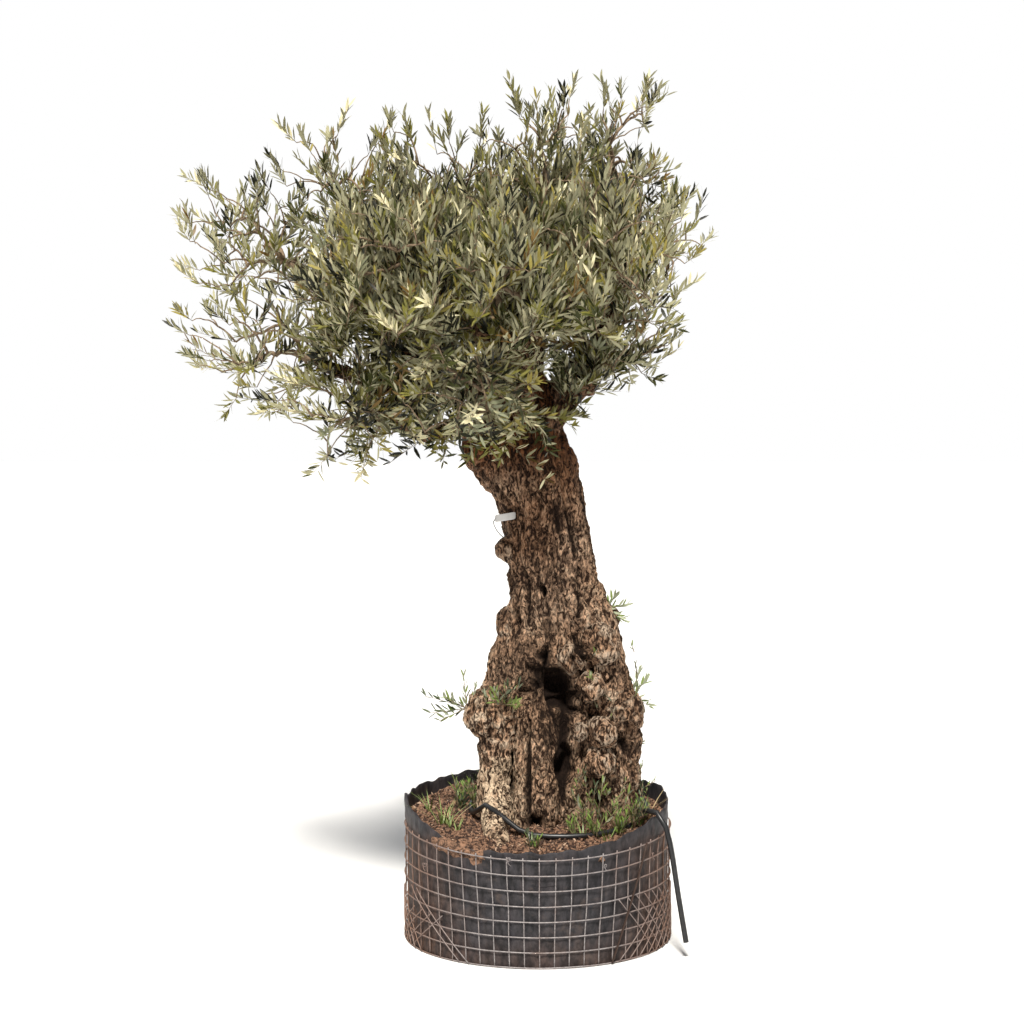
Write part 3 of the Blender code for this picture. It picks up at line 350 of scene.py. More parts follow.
grain_group, ins, outs = node_group(
    "grain", [("Dark", COLOUR, (0, 0, 0, 1)), ("Light", COLOUR, (1, 1, 1, 1)), ("Place", VECTOR, (0, 0, 0)),
              ("Scale", NUMBER, 30.0), ("Contrast", NUMBER, 0.2)],
    [("Colour", COLOUR), ("Height", NUMBER)])
coarse = put_node(grain_group, "TexNoise", {"Detail": 6.0, "Roughness": 0.65})
spread = put_node(grain_group, "Math", {0: 0.5}, "SUBTRACT")
widest = put_node(grain_group, "Math", {0: 0.5}, "ADD")
soft = put_node(grain_group, "MapRange")
join_nodes(grain_group, (ins.outputs["Place"], coarse.inputs["Vector"]),
           (ins.outputs["Scale"], coarse.inputs["Scale"]),
           (ins.outputs["Contrast"], spread.inputs[1]), (ins.outputs["Contrast"], widest.inputs[1]),
           (coarse.outputs["Fac"], soft.inputs["Value"]),
           (spread.outputs[0], soft.inputs["From Min"]), (widest.outputs[0], soft.inputs["From Max"]))
grained = mix_colour(grain_group, soft.outputs["Result"], ins.outputs["Dark"], ins.outputs["Light"])
join_nodes(grain_group, (grained, outs.inputs["Colour"]), (coarse.outputs["Fac"], outs.inputs["Height"]))

dust_group, ins, outs = node_group(
    "dust", [("Colour", COLOUR, (0, 0, 0, 1)), ("Dust", COLOUR, (0.3, 0.2, 0.1, 1)),
             ("Amount", NUMBER, 0.5), ("Scale", NUMBER, 8.0), ("Roughness", NUMBER, 0.5)],
    [("Colour", COLOUR), ("Roughness", NUMBER), ("Mask", NUMBER)])
place = put_node(dust_group, "TexCoord")
patches = put_node(dust_group, "TexNoise", {"Detail": 8.0, "Roughness": 0.7})
threshold = put_node(dust_group, "Math", {0: 0.85}, "SUBTRACT")
cover = put_node(dust_group, "MapRange", {"From Max": 0.9})
join_nodes(dust_group, (place.outputs["Object"], patches.inputs["Vector"]),
           (ins.outputs["Scale"], patches.inputs["Scale"]),
           (ins.outputs["Amount"], threshold.inputs[1]),
           (patches.outputs["Fac"], cover.inputs["Value"]), (threshold.outputs[0], cover.inputs["From Min"]))
dusted = mix_colour(dust_group, cover.outputs["Result"], ins.outputs["Colour"], ins.outputs["Dust"])
rougher = put_node(dust_group, "Mix", {3: 0.95})
join_nodes(dust_group, (cover.outputs["Result"], rougher.inputs[0]), (ins.outputs["Roughness"], rougher.inputs[2]),
           (dusted, outs.inputs["Colour"]), (rougher.outputs[0], outs.inputs["Roughness"]),
           (cover.outputs["Result"], outs.inputs["Mask"]))
print("groups:", grain_group.name, dust_group.name)

# %% [markdown]
# ## A material from the groups
# Each material below is a Principled BSDF whose colour passes through the grain and then the dust.
# The place of the pattern is read in Object coordinates, because every piece keeps its own points
# in the frame of the whole object, so a pattern runs on from piece to piece. Stretching the place
# along Z makes a grain into streaks.

# %% The material maker


def grain_and_dust(name, dark, light, dust, amount=0.3, scale=40.0, contrast=0.2, stretch=1.0,
                   roughness=0.8, metallic=0.0, bump=0.3, depth=0.002, dust_scale=8.0):
    """A material: two-colour grain, patches of dust, and a bump from the grain's height."""
    material, tree, shader = new_material(name)
    set_inputs(shader, {"Metallic": metallic})
    coordinates = put_node(tree, "TexCoord")
    mapping = put_node(tree, "Mapping", {"Scale": (1.0, 1.0, stretch)})
    grain = put_group(tree, grain_group, {"Dark": dark, "Light": light, "Scale": scale, "Contrast": contrast})
    dusting = put_group(tree, dust_group, {"Dust": dust, "Amount": amount, "Scale": dust_scale,
                                           "Roughness": roughness})
    relief = put_node(tree, "Bump", {"Strength": bump, "Distance": depth})
    join_nodes(tree, (coordinates.outputs["Object"], mapping.inputs["Vector"]),
               (mapping.outputs["Vector"], grain.inputs["Place"]),
               (grain.outputs["Colour"], dusting.inputs["Colour"]),
               (dusting.outputs["Colour"], shader.inputs["Base Color"]),
               (dusting.outputs["Roughness"], shader.inputs["Roughness"]),
               (grain.outputs["Height"], relief.inputs["Height"]),
               (relief.outputs["Normal"], shader.inputs["Normal"]))
    return material, tree, grain, dusting


def attribute(tree, name):
    """The socket of a number stored on the piece's points."""
    node = put_node(tree, "Attribute")
    node.attribute_name = name
    return node.outputs["Fac"]


SOIL_DUST = (0.235, 0.135, 0.085)
hose_black = grain_and_dust("hose_black", (0.010, 0.010, 0.011), (0.022, 0.022, 0.024), SOIL_DUST,
                            amount=0.22, scale=60, roughness=0.38, bump=0.08, dust_scale=14)[0]
wire_grey = grain_and_dust("wire_grey", (0.15, 0.13, 0.13), (0.36, 0.33, 0.33), (0.16, 0.08, 0.05),
                           amount=0.34, scale=90, roughness=0.55, metallic=0.2, bump=0.1, dust_scale=9)[0]
soil_brown = grain_and_dust("soil_brown", (0.022, 0.010, 0.006), (0.300, 0.165, 0.100), (0.44, 0.28, 0.19),
                            amount=0.24, scale=95, contrast=0.10, roughness=0.95, bump=0.9, depth=0.006,
                            dust_scale=40)[0]
chip_finishes = [grain_and_dust(f"chip_{name}", dark, light, dust, amount=amount, scale=110, roughness=0.9,
                                bump=bump, dust_scale=30)[0] for name, dark, light, dust, amount, bump in (
    ("brown", (0.100, 0.045, 0.026), (0.380, 0.220, 0.135), (0.48, 0.32, 0.22), 0.30, 0.5),
    ("pale", (0.300, 0.190, 0.125), (0.600, 0.430, 0.310), (0.48, 0.32, 0.22), 0.20, 0.4),
    ("dark", (0.014, 0.007, 0.005), (0.070, 0.032, 0.018), (0.20, 0.11, 0.07), 0.15, 0.4))]
tag_white = grain_and_dust("tag_white", (0.62, 0.61, 0.60), (0.74, 0.73, 0.72), (0.42, 0.36, 0.30),
                           amount=0.22, scale=50, roughness=0.45, bump=0.05, dust_scale=30)[0]
print("finishes:", len(bpy.data.materials))

# %% [markdown]
# ## The drip hose
# A black polythene hose, 16 mm thick, lies on the soil round the trunk. It rides up over the
# front root, and its loose end goes out over the pot's rim and hangs down, cut square. It is
# stiff, so its course is one smooth curve with wide bends. A curve object with a round bevel is the
# usual way to make a hose, and it stays easy to measure.

# %% Lay the hose
HOSE_RADIUS = 0.008
RING_CENTRE = (0.066, 0.030)
RING_RADIUS = 0.272
RING_START = math.radians(-16.0)
RING_TURN = math.radians(340.0)
RING_POINTS = 23
ROOT_LIFT = 0.060
ROOT_ANGLE = math.radians(220.0)
ROOT_WIDTH = math.radians(16.0)
ON_SOIL = 0.0012          # the hose's clearance over the soil
HOSE_TAIL = [(0.428, -0.262, 0.050), (0.405, -0.252, 0.190), (0.385, -0.243, 0.320),
             (0.366, -0.231, 0.392), (0.338, -0.211, 0.424), (0.312, -0.170, 0.414),
             (0.312, -0.122, 0.392)]
HOSE_STEP = 0.048
SOIL_MIDDLE = 0.370
SOIL_RISE = 0.10


def soil_plane(y):
    """Height of the soil: a plane that rises to the back."""
    return SOIL_MIDDLE + SOIL_RISE * y


def hose_course():
    """The tail's points, then a circle on the soil with a hump over the root."""
    angle = RING_START + RING_TURN * np.arange(RING_POINTS) / (RING_POINTS - 1)
    x = RING_CENTRE[0] + RING_RADIUS * np.cos(angle)
    y = RING_CENTRE[1] + RING_RADIUS * np.sin(angle)
    lift = ROOT_LIFT * np.exp(-((angle - ROOT_ANGLE) / ROOT_WIDTH) ** 2)
    ring = np.column_stack([x, y, soil_plane(y) + HOSE_RADIUS + ON_SOIL + lift])
    return smooth_curve(np.vstack([HOSE_TAIL, ring]), HOSE_STEP)


course = hose_course()
hose_curve = bpy.data.curves.new("drip_hose_line", "CURVE")
hose_curve.dimensions = "3D"
line = hose_curve.splines.new("POLY")
line.points.add(len(course) - 1)
line.points.foreach_set("co", np.column_stack([course, np.ones(len(course))]).ravel())
hose_curve.bevel_depth = HOSE_RADIUS
hose_curve.bevel_resolution = 4
hose_curve.use_fill_caps = True
line.use_smooth = True
hose_curve.materials.append(hose_black)
hose = put_in_scene("hose", hose_curve)
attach(hose, "root")
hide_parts("drip_hose")

# %% [markdown]
# ## The liner
# The pot is a bag of thick black sheet. Soil presses it out between the wires, it hangs in soft
# upright folds, and its edge stands up above the mesh, folded down at the front and pinched to a
# corner at the left. It is one surface with two parameters, the angle round the pot and the way
# along the wall: up the outside, over the edge and down the inside. Noise that is stretched along
# Z gives the folds.

# %% Shape of the pot
POT_RADIUS = 0.400
UPRIGHTS = 52
CAGE_HEIGHT = 0.345
CAGE_DIP = 0.024
CELLS = 7
FRONT_FLAT_FOOT = 0.12
FRONT_FLAT_TOP = 0.03
LINER_WALL = 0.004
LINER_RIM = 0.425
RIM_FOLD = 0.085
LEFT_CORNER = math.radians(-176.0)
RIGHT_CORNER = math.radians(-4.0)
LEFT_RISE = 0.020
RIGHT_DROP = 0.006
SPILL_ANGLE = math.radians(-130.0)
BURIED_EDGE = 0.028       # how far the edge lies lower where soil is heaped over it
# Waves of the edge: how many go round the pot, their height and their shift.
LONG_WAVES = ((3, 0.007, 1), (7, 0.004, 0))
SHORT_WAVES = ((23, 0.0025, 2), (41, 0.002, 0))


def near_angle(angle, place, width):
    """1 at an angle, fading over a width: a bell curve on the circle."""
    apart = (angle - place + np.pi) % (2 * np.pi) - np.pi
    return np.exp(-(apart / width) ** 2)


def front_share(angle):
    """1 at the front and 0 at the sides: the square of the sine on the front half."""
    return np.maximum(0.0, -np.sin(angle)) ** 2


def wall_radius(angle, height):
    """The pot's radius: a circle that is flatter at the front, and most so at the floor."""
    share = np.clip(height / CAGE_HEIGHT, 0.0, 1.0)
    flat = FRONT_FLAT_FOOT + (FRONT_FLAT_TOP - FRONT_FLAT_FOOT) * share
    return POT_RADIUS * (1.0 - flat * front_share(angle))


def waves(angle, rows):
    """A sum of sine waves round the pot."""
    return sum(height * np.sin(count * angle + shift) for count, height, shift in rows)


def rim_height(angle):
    """The edge's height: low in front, waved elsewhere, raised at the left corner, a little lower
    at the right one and where the soil buries it."""
    front = front_share(angle)
    corners = (LEFT_RISE * near_angle(angle, LEFT_CORNER, 0.08) - RIGHT_DROP * near_angle(angle, RIGHT_CORNER, 0.2)
               - BURIED_EDGE * near_angle(angle, SPILL_ANGLE, 0.36))
    return (LINER_RIM - RIM_FOLD * front + waves(angle, LONG_WAVES) * (1 - front)
            + waves(angle, SHORT_WAVES) + corners)


def polar(angle, radius, height):
    """Points at an angle and radius round the pot's axis."""
    return np.stack([radius * np.cos(angle), radius * np.sin(angle), height], axis=-1)


def round_grid(columns, rows):
    """Triangles of a grid that closes on itself along its columns, facing out where rows go up."""
    column, row = np.meshgrid(np.arange(columns), np.arange(rows - 1), indexing="xy")
    column, row = column.ravel(), row.ravel()
    beside = (column + 1) % columns
    a, b = row * columns + column, row * columns + beside
    c, d = a + columns, b + columns
    return np.concatenate([np.column_stack([a, b, d]), np.column_stack([a, d, c])])


print("rim from", round(float(rim_height(np.array([-np.pi / 2]))[0]), 3), "in front")

# %% [markdown]
# The wall is built as rows of rings: a small ring under the floor, sixty up the outside, one on the
# edge and twelve down the inside, which is as far as the soil leaves it in sight. A thin sheet could
# be thickened by a modifier, but the edge is its only visible thickness, so it is drawn directly.

# %% Make the liner
LINER_COLUMNS = 720
OUTER_ROWS = 60
INNER_ROWS = 12
INNER_END = 0.72          # how far down the inside goes, as a share of the edge's height
FOLDS = ((noise, 0.22, 0.060, 1, 0.0030), (ridged, 0.30, 0.085, 5, 0.0020),
         (noise, 0.60, 0.018, 2, 0.0010), (ridged, 1.00, 0.032, 3, 0.0009))
CELL_BULGE = 0.0018
SHEET_INSET = 0.0040
CORNER_LEAN = 0.010
LOOSE_LEAN = 0.004
EDGE_ROUND = 0.0014


def fold_depth(angle, height):
    """How far the sheet stands in or out: tall folds and small creases, and bulges in each mesh
    cell, which are the product of a squared sine round the pot and one up its wall."""
    flat = polar(angle, POT_RADIUS, height).reshape(-1, 3)
    cell = np.sin(angle * UPRIGHTS / 2) ** 2 * np.sin(np.pi * height / CAGE_HEIGHT * CELLS) ** 2
    return layered(flat, FOLDS).reshape(angle.shape) + CELL_BULGE * cell - SHEET_INSET


angle = np.linspace(0, 2 * np.pi, LINER_COLUMNS, endpoint=False)
up = np.linspace(0, 1, OUTER_ROWS)[:, None]
rim = rim_height(angle)[None, :]
height = up * rim
around = np.broadcast_to(angle, height.shape)
loose = held((height - 0.30) / 0.10)
lean = CORNER_LEAN * near_angle(around, LEFT_CORNER, 0.09) * loose - LOOSE_LEAN * loose * np.sin(3 * around)
outside = wall_radius(around, height) + fold_depth(around, height) * np.clip(up * 8, 0.1, 1) + lean
outer = polar(around, outside, height)
inner_height = np.linspace(1.0, INNER_END, INNER_ROWS)[:, None] * rim
inner = polar(np.broadcast_to(angle, inner_height.shape),
              np.broadcast_to(outside[-1:], inner_height.shape) * 0.5
              + wall_radius(angle, inner_height) * 0.5 - LINER_WALL - 0.002, inner_height)
edge = polar(angle, outside[-1] - LINER_WALL / 2, rim[0] + EDGE_ROUND)[None]
foot = polar(angle, wall_radius(angle, 0.0) * 0.3, np.zeros_like(angle))[None]
wall = np.concatenate([foot, outer, edge, inner])
liner_points = wall.reshape(-1, 3)
liner_faces = round_grid(LINER_COLUMNS, len(wall))
ring = np.arange(LINER_COLUMNS)
centre = np.full(LINER_COLUMNS, len(liner_points))
floor_fan = np.column_stack([centre, np.roll(ring, -1), ring])
liner_points = np.concatenate([liner_points, [[0.0, 0.0, 0.0]]])
liner_faces = np.concatenate([liner_faces, floor_fan])
print("liner rows:", len(wall))

# %% [markdown]
# The sheet is charcoal where it is clean, in front and at the top. At both sides it is caked with
# rust-brown mud that has run down in streaks, and there is less of it behind. How muddy each point
# is comes from its angle and height and is stored on the mesh, and the material mixes the sheet's
# colour and the mud's by that number.

# %% Finish of the liner
liner_black, tree, grain, dusting = grain_and_dust(
    "liner_black", (0.012, 0.012, 0.014), (0.046, 0.044, 0.050), (0.130, 0.095, 0.080), amount=0.30,
    scale=45, contrast=0.14, stretch=0.45, roughness=0.60, bump=0.35, depth=0.003, dust_scale=16)
mud = attribute(tree, "mud")
caked = mix_colour(tree, ramp(tree, grain.outputs["Height"], 0.36, 0.66), (0.032, 0.017, 0.012),
                   (0.108, 0.060, 0.041))
muddy = mix_colour(tree, mud, grain.outputs["Colour"], caked)
set_inputs(tree.nodes["Principled BSDF"], {"Specular IOR Level": 0.25})
join_nodes(tree, (muddy, dusting.inputs["Colour"]))
MUD_TOP = 0.33            # the mud ends here, over a fade of 50 mm
SPLASH_TOP = 0.10         # in front only the foot is splashed
MUD_BEHIND = 0.62         # the share of mud that is missing behind
STREAKS = ((noise, 0.18, 0.016, 7, 0.5), (noise, 0.18, 0.006, 8, 0.35))
x, y, z = liner_points.T
side_share = 1 - held(front_share(np.arctan2(y, x)) * 1.25)
side_share *= 1 - MUD_BEHIND * held(y / POT_RADIUS) ** 1.5
low_share = 1 - held((z - MUD_TOP) / 0.05)
splash = held(1 - z / SPLASH_TOP) * 0.45
streaks = 0.5 + layered(liner_points, STREAKS)
mud_amount = held((side_share ** 1.3 * 1.15 + splash) * low_share * (0.55 + 0.6 * streaks) + 0.10 * streaks)
liner = new_piece("liner", liner_points, liner_faces, [liner_black], "liner", ["pot_liner"])
tag_points(liner, "mud", mud_amount)

# %% [markdown]
# ## The soil
# The soil is reddish brown, coarse and full of chips. It lies a little domed, higher at the back, and at the front
# left it is heaped over the edge and over the top wire. The ground itself is a round grid with bumps from noise at
# three sizes. Chips and clods are one small lump, copied with seeded random turns and sizes as arrays.

# %% Ground of the pot
SOIL_COLUMNS = 480
SOIL_ROWS = 130
SOIL_GAP = 0.009          # from the wall's outside to the soil
SPILL_OUT = 0.012
HEAP_HEIGHT = 0.018
DOME_HEIGHT = 0.006
SOIL_SINK = 0.004
BUMPS = ((noise, 1, 0.070, 11, 0.007), (noise, 1, 0.026, 12, 0.0045),
         (ridged, 1, 0.012, 13, 0.0025), (noise, 1, 0.006, 14, 0.0018))


def soil_radius(angle):
    """How far the soil reaches: the liner's inside, or its outside where the soil is heaped over."""
    return wall_radius(angle, 0.36) - SOIL_GAP + SPILL_OUT * near_angle(angle, SPILL_ANGLE, 0.27)


def soil_top(x, y):
    """Height of the ground: the plane, a heap at the spill, a low dome, and bumps of three sizes."""
    angle = np.arctan2(y, x)
    out = np.hypot(x, y) / POT_RADIUS
    flat = np.stack([x, y, np.zeros_like(x)], axis=-1).reshape(-1, 3)
    heap = near_angle(angle, SPILL_ANGLE, 0.30) * held((out - 0.60) / 0.3)
    return (soil_plane(y) + layered(flat, BUMPS).reshape(x.shape) - SOIL_SINK + HEAP_HEIGHT * heap
            + DOME_HEIGHT * (1 - out ** 2))


angle = np.linspace(0, 2 * np.pi, SOIL_COLUMNS, endpoint=False)
share = np.linspace(1.0, 0.02, SOIL_ROWS)[:, None] ** 0.8
reach = soil_radius(angle)[None, :] * share
x, y = reach * np.cos(angle), reach * np.sin(angle)
top = np.stack([x, y, soil_top(x, y)], axis=-1)
rim_drop = top[:1] - np.array([0, 0, 0.022])
skirt = top[:1] * (0.93, 0.93, 1.0) - np.array([0, 0, 0.10])
ground = np.concatenate([skirt, rim_drop, top])
soil_points = ground.reshape(-1, 3)
soil_faces = round_grid(SOIL_COLUMNS, len(ground))
last_ring = np.arange(SOIL_COLUMNS) + (len(ground) - 1) * SOIL_COLUMNS
tip = np.full(SOIL_COLUMNS, len(soil_points))
soil_points = np.concatenate([soil_points, [[0, 0, float(soil_top(np.zeros(1), np.zeros(1))[0])]]])
soil_faces = np.concatenate([soil_faces, np.column_stack([last_ring, np.roll(last_ring, -1), tip])])
new_piece("soil_ground", soil_points, soil_faces, [soil_brown], "soil", ["soil"])

# %% [markdown]
# Potting soil is mostly shreds of bark. Five thousand small lumps lie on the ground, long and flat,
# in brown, dark and a few pale ones. Copying one mesh as objects would be heavy, so all the lumps
# are one array: eight triangles each, turned and sized by a seeded draw.

# %% Chips and clods on the ground
CHIP_COUNT = 5200
CHIP_SIZE = (0.018, 0.008, 0.0050)
CHIP_SHARES = [0.42, 0.08, 0.50]
CHIP_LIFT = 0.0015
CHIP_TRIANGLES = np.array([[0, 2, 4], [2, 1, 4], [1, 3, 4], [3, 0, 4], [2, 0, 5], [1, 2, 5], [3, 1, 5], [0, 3, 5]])


def random_turns(rng, count):
    """Three axes at right angles for each of many things, turned at random."""
    first = unit(rng.normal(size=(count, 3)))
    second = unit(np.cross(first, rng.normal(size=(count, 3))))
    return np.stack([first, second, np.cross(first, second)], axis=1)


def lumps(rng, places, sizes):
    """Eight-sided lumps: two points out along each of three turned axes, each by its own size."""
    count = len(places)
    axes = random_turns(rng, count)
    signs = np.array([[1, 0, 0], [-1, 0, 0], [0, 1, 0], [0, -1, 0], [0, 0, 1], [0, 0, -1]], float)
    wobble = 1 + 0.25 * rng.uniform(-1, 1, (count, 6, 1))
    corners = signs[None] * sizes[:, None, :] * wobble
    points = places[:, None] + np.einsum("nck,nkd->ncd", corners, axes)
    shift = (np.arange(count) * 6)[:, None, None]
    return points.reshape(-1, 3), (CHIP_TRIANGLES[None] + shift).reshape(-1, 3)


rng = np.random.default_rng(21)
chip_angle = rng.uniform(0, 2 * np.pi, CHIP_COUNT)
chip_reach = np.sqrt(rng.uniform(0.10, 0.985, CHIP_COUNT)) * soil_radius(chip_angle)
x, y = chip_reach * np.cos(chip_angle), chip_reach * np.sin(chip_angle)
chip_size = rng.uniform(0.35, 1.0, CHIP_COUNT)[:, None] ** 2 * rng.uniform(0.4, 1.0, (CHIP_COUNT, 3)) * CHIP_SIZE
places = np.column_stack([x, y, soil_top(x, y) + CHIP_LIFT])
chip_points, chip_faces = lumps(rng, places, chip_size)
chips = new_piece("soil_chips", chip_points, chip_faces, chip_finishes, "soil", smooth=False)
deal_finishes(chips, np.repeat(rng.choice(3, CHIP_COUNT, p=CHIP_SHARES), len(CHIP_TRIANGLES)))

# %% [markdown]
# ## The wire cage
# Welded mesh holds the liner: uprights about 50 mm apart and hoops at the same distance, of wire
# about 4 mm thick. It sags at the front. At both sides the ends of the sheet of mesh overlap, and a
# tilted piece of it crosses the first. Every wire is a tube with its own slight waviness; the
# uprights are one call to the sweep, because they all have the same number of points.

# %% Weave the cage
WIRE_RADIUS = 0.0019
WIRE_SIDES = 6
UPRIGHT_POINTS = 16
HOOP_POINTS = 208
UPRIGHT_OUT = 0.0016      # how far the middle of a wire lies out from the wall's own radius
HOOP_OUT = 0.0046


def cage_top(angle):
    """Height of the top wire: it sags in front."""
    return CAGE_HEIGHT - CAGE_DIP * front_share(angle)


def bent(points, size, seed):
    """Points moved sideways by smooth noise, as a wire that has been handled."""
    shift = drift(points.reshape(-1, 3), 0.09, seed) * size
    return points + shift.reshape(points.shape) * (1, 1, 0.6)


def on_wall(angle, height, out, size, seed):
    """Wire paths on the pot's wall, a little out from it, bent, and never under the floor."""
    paths = bent(polar(angle, wall_radius(angle, height) + out, height), size, seed)
    paths[..., 2] = np.maximum(paths[..., 2], WIRE_RADIUS)
    return paths


angle = (2 * np.pi * np.arange(UPRIGHTS) / UPRIGHTS)[:, None] + np.zeros((1, UPRIGHT_POINTS))
height = 0.002 + (cage_top(angle) + 0.004) * np.linspace(0, 1, UPRIGHT_POINTS)[None, :]
upright_wires = sweep(on_wall(angle, height, UPRIGHT_OUT, 0.0018, 31), WIRE_RADIUS, WIRE_SIDES)
turn = (2 * np.pi * np.arange(HOOP_POINTS) / HOOP_POINTS)[None, :] + np.zeros((CELLS + 1, 1))
height = 0.004 + (cage_top(turn) - 0.004) * np.arange(CELLS + 1)[:, None] / CELLS
hoop_wires = sweep(on_wall(turn, height, HOOP_OUT, 0.0016, 35), WIRE_RADIUS, WIRE_SIDES, (0, 0, 1), closed=True)
print("wires:", UPRIGHTS, "upright,", CELLS + 1, "round")

# %% [markdown]
# Where the two ends of the mesh meet, at both sides, their wires cross at a slant. A dark steel
# stake leans on the front right and thin ties hold the crossings. All of them are more tubes on the
# same wall, so they take the same helper and are joined with the cage into one piece. Numbers
# stored on its points say which part is rusty and which is the stake.

# %% Overlapping sheets of mesh at the sides, wire ties and a stake
SLANT_POINTS = 14
SLANT_OUT = 0.0066
STAKE_RADIUS = 0.0032
STAKE_OUT = 0.009
TIE_RADIUS = 0.0011
TIE_POINTS = 40
TIE_SIZE = 0.006
TIE_OUT = 0.010
# Angle and height of each tie.
TIES = ((-62, 0.296), (-146, 0.268), (-103, 0.324), (-35, 0.300), (80, 0.3), (150, 0.25))
# Slanted wires: angles of the first and the last, heights of foot and top, slant, how many, seed.
SLANTS = ((-166, -150, 0.006, 0.150, -20, 4, 41), (-178, -158, 0.010, 0.130, 22, 4, 44),
          (-128, -123, 0.004, 0.190, -30, 2, 47), (-52, -6, 0.006, 0.170, 24, 9, 51),
          (-30, 6, 0.006, 0.190, -24, 8, 54), (20, 60, 0.006, 0.170, 18, 6, 57))
degrees = math.radians


def slanted_wires(start_angle, end_angle, low, high, slant, count, seed):
    """Wires that climb the pot's side at a slant: angle and height both run evenly from end to end."""
    share = np.linspace(0, 1, SLANT_POINTS)[None, :]
    first = np.linspace(degrees(start_angle), degrees(end_angle), count)[:, None]
    height = low + (high - low) * share + 0 * first
    return sweep(on_wall(first + degrees(slant) * share, height, SLANT_OUT, 0.0030, seed), WIRE_RADIUS * 0.85, 5)


slanted = [slanted_wires(*row) for row in SLANTS]
stake_share = np.linspace(0, 1, 12)
stake_angle = degrees(-56) + degrees(17) * stake_share
stake_height = 0.004 + 0.335 * stake_share
stake = polar(stake_angle, wall_radius(stake_angle, stake_height) + STAKE_OUT, stake_height)[None]
stake_wire = sweep(stake, STAKE_RADIUS, 7)


def wire_tie(angle, height, seed):
    """A twist of thin wire: two turns of a shrinking coil round a crossing, then an end that hangs."""
    t = np.linspace(0, 1, TIE_POINTS)
    coil = TIE_SIZE * (1 - 0.3 * t)
    around = angle + (coil * np.cos(4 * np.pi * t) + 0.004 * t) / POT_RADIUS
    hang = 0.022 * held(t - 0.75) * 4 * np.random.default_rng(seed).uniform(0.5, 1)
    up = height + coil * np.sin(4 * np.pi * t) - hang
    out = wall_radius(around, up) + TIE_OUT + 0.004 * np.sin(9 * t)
    return sweep(polar(around, out, up)[None], TIE_RADIUS, 4)


ties = [wire_tie(degrees(angle), height, 60 + i) for i, (angle, height) in enumerate(TIES)]
cage_points, cage_faces = joined([upright_wires, hoop_wires, stake_wire, *slanted, *ties])
cage = new_piece("mesh_cage", cage_points, cage_faces, [wire_grey], "wire",
                 ["cage_uprights"] + [f"cage_hoop_{row}" for row in range(1, CELLS + 1)])
rust_side = 1 - front_share(np.arctan2(cage_points[:, 1], cage_points[:, 0]))
tag_points(cage, "rust", held(rust_side * 1.3 - 0.25 + 0.25 * noise(cage_points, 0.03, 70)))
stake_start = len(upright_wires[0]) + len(hoop_wires[0])
on_stake = np.zeros(len(cage_points))
on_stake[stake_start:stake_start + len(stake_wire[0])] = 1
tag_points(cage, "stake", on_stake)
tree = wire_grey.node_tree
shader = tree.nodes["Principled BSDF"]
plain_wire = shader.inputs["Base Color"].links[0].from_socket
rusty = mix_colour(tree, attribute(tree, "rust"), plain_wire, (0.20, 0.115, 0.080))
join_nodes(tree, (mix_colour(tree, attribute(tree, "stake"), rusty, (0.040, 0.020, 0.013)),
                  shader.inputs["Base Color"]))

# %% [markdown]
# ## The trunk
# An old olive trunk is a bundle of strands that have grown round hollows, with burls swelling out
# of it. Each strand is a tapering tube and each burl a ball. Blender's voxel remesh melts them into
# one skin, which is then read back as an array and pushed in and out along its normals: deep
# hollows and cracks by name, stringy ridges that climb with a slight twist, and knobs on the burls.

# %% Strands and burls
STRANDS = {
    "heart": [(0.07, 0.05, 0.30, 0.165), (0.07, 0.05, 0.55, 0.160), (0.06, 0.04, 0.80, 0.140),
              (0.052, 0.02, 1.05, 0.130), (0.020, 0.0, 1.28, 0.122), (-0.035, 0.0, 1.46, 0.130),
              (-0.055, 0.01, 1.60, 0.105), (-0.05, 0.02, 1.70, 0.075)],
    "left_leg": [(-0.125, -0.025, 0.30, 0.052), (-0.13, -0.025, 0.50, 0.050),
                 (-0.105, -0.03, 0.70, 0.068), (-0.04, -0.03, 0.90, 0.075),
                 (0.01, -0.03, 1.10, 0.070), (0.0, -0.03, 1.30, 0.070)],
    "root_toe": [(-0.12, -0.02, 0.46, 0.050), (-0.125, -0.10, 0.395, 0.040),
                 (-0.124, -0.20, 0.352, 0.030), (-0.120, -0.33, 0.315, 0.024)],
    "middle_column": [(-0.01, -0.105, 0.30, 0.070), (-0.005, -0.10, 0.48, 0.062),
                      (0.0, -0.075, 0.68, 0.060), (0.03, -0.05, 0.88, 0.060),
                      (0.07, -0.03, 1.10, 0.058)],
    "right_mass": [(0.225, 0.0, 0.30, 0.085), (0.225, -0.01, 0.50, 0.082),
                   (0.215, -0.02, 0.72, 0.080), (0.165, -0.02, 0.92, 0.070),
                   (0.10, -0.01, 1.12, 0.060), (0.06, -0.01, 1.32, 0.055)],
    "back_ridge": [(0.03, 0.17, 0.32, 0.080), (0.05, 0.15, 0.60, 0.070),
                   (0.06, 0.11, 0.90, 0.060), (0.04, 0.07, 1.20, 0.055),
                   (-0.04, 0.07, 1.48, 0.055)],
    "back_right_ridge": [(0.20, 0.12, 0.32, 0.070), (0.19, 0.10, 0.60, 0.065),
                         (0.13, 0.07, 0.95, 0.055)],
    "head_left": [(-0.02, 0.0, 1.34, 0.07), (-0.12, 0.0, 1.46, 0.085), (-0.13, 0.01, 1.56, 0.07)],
}
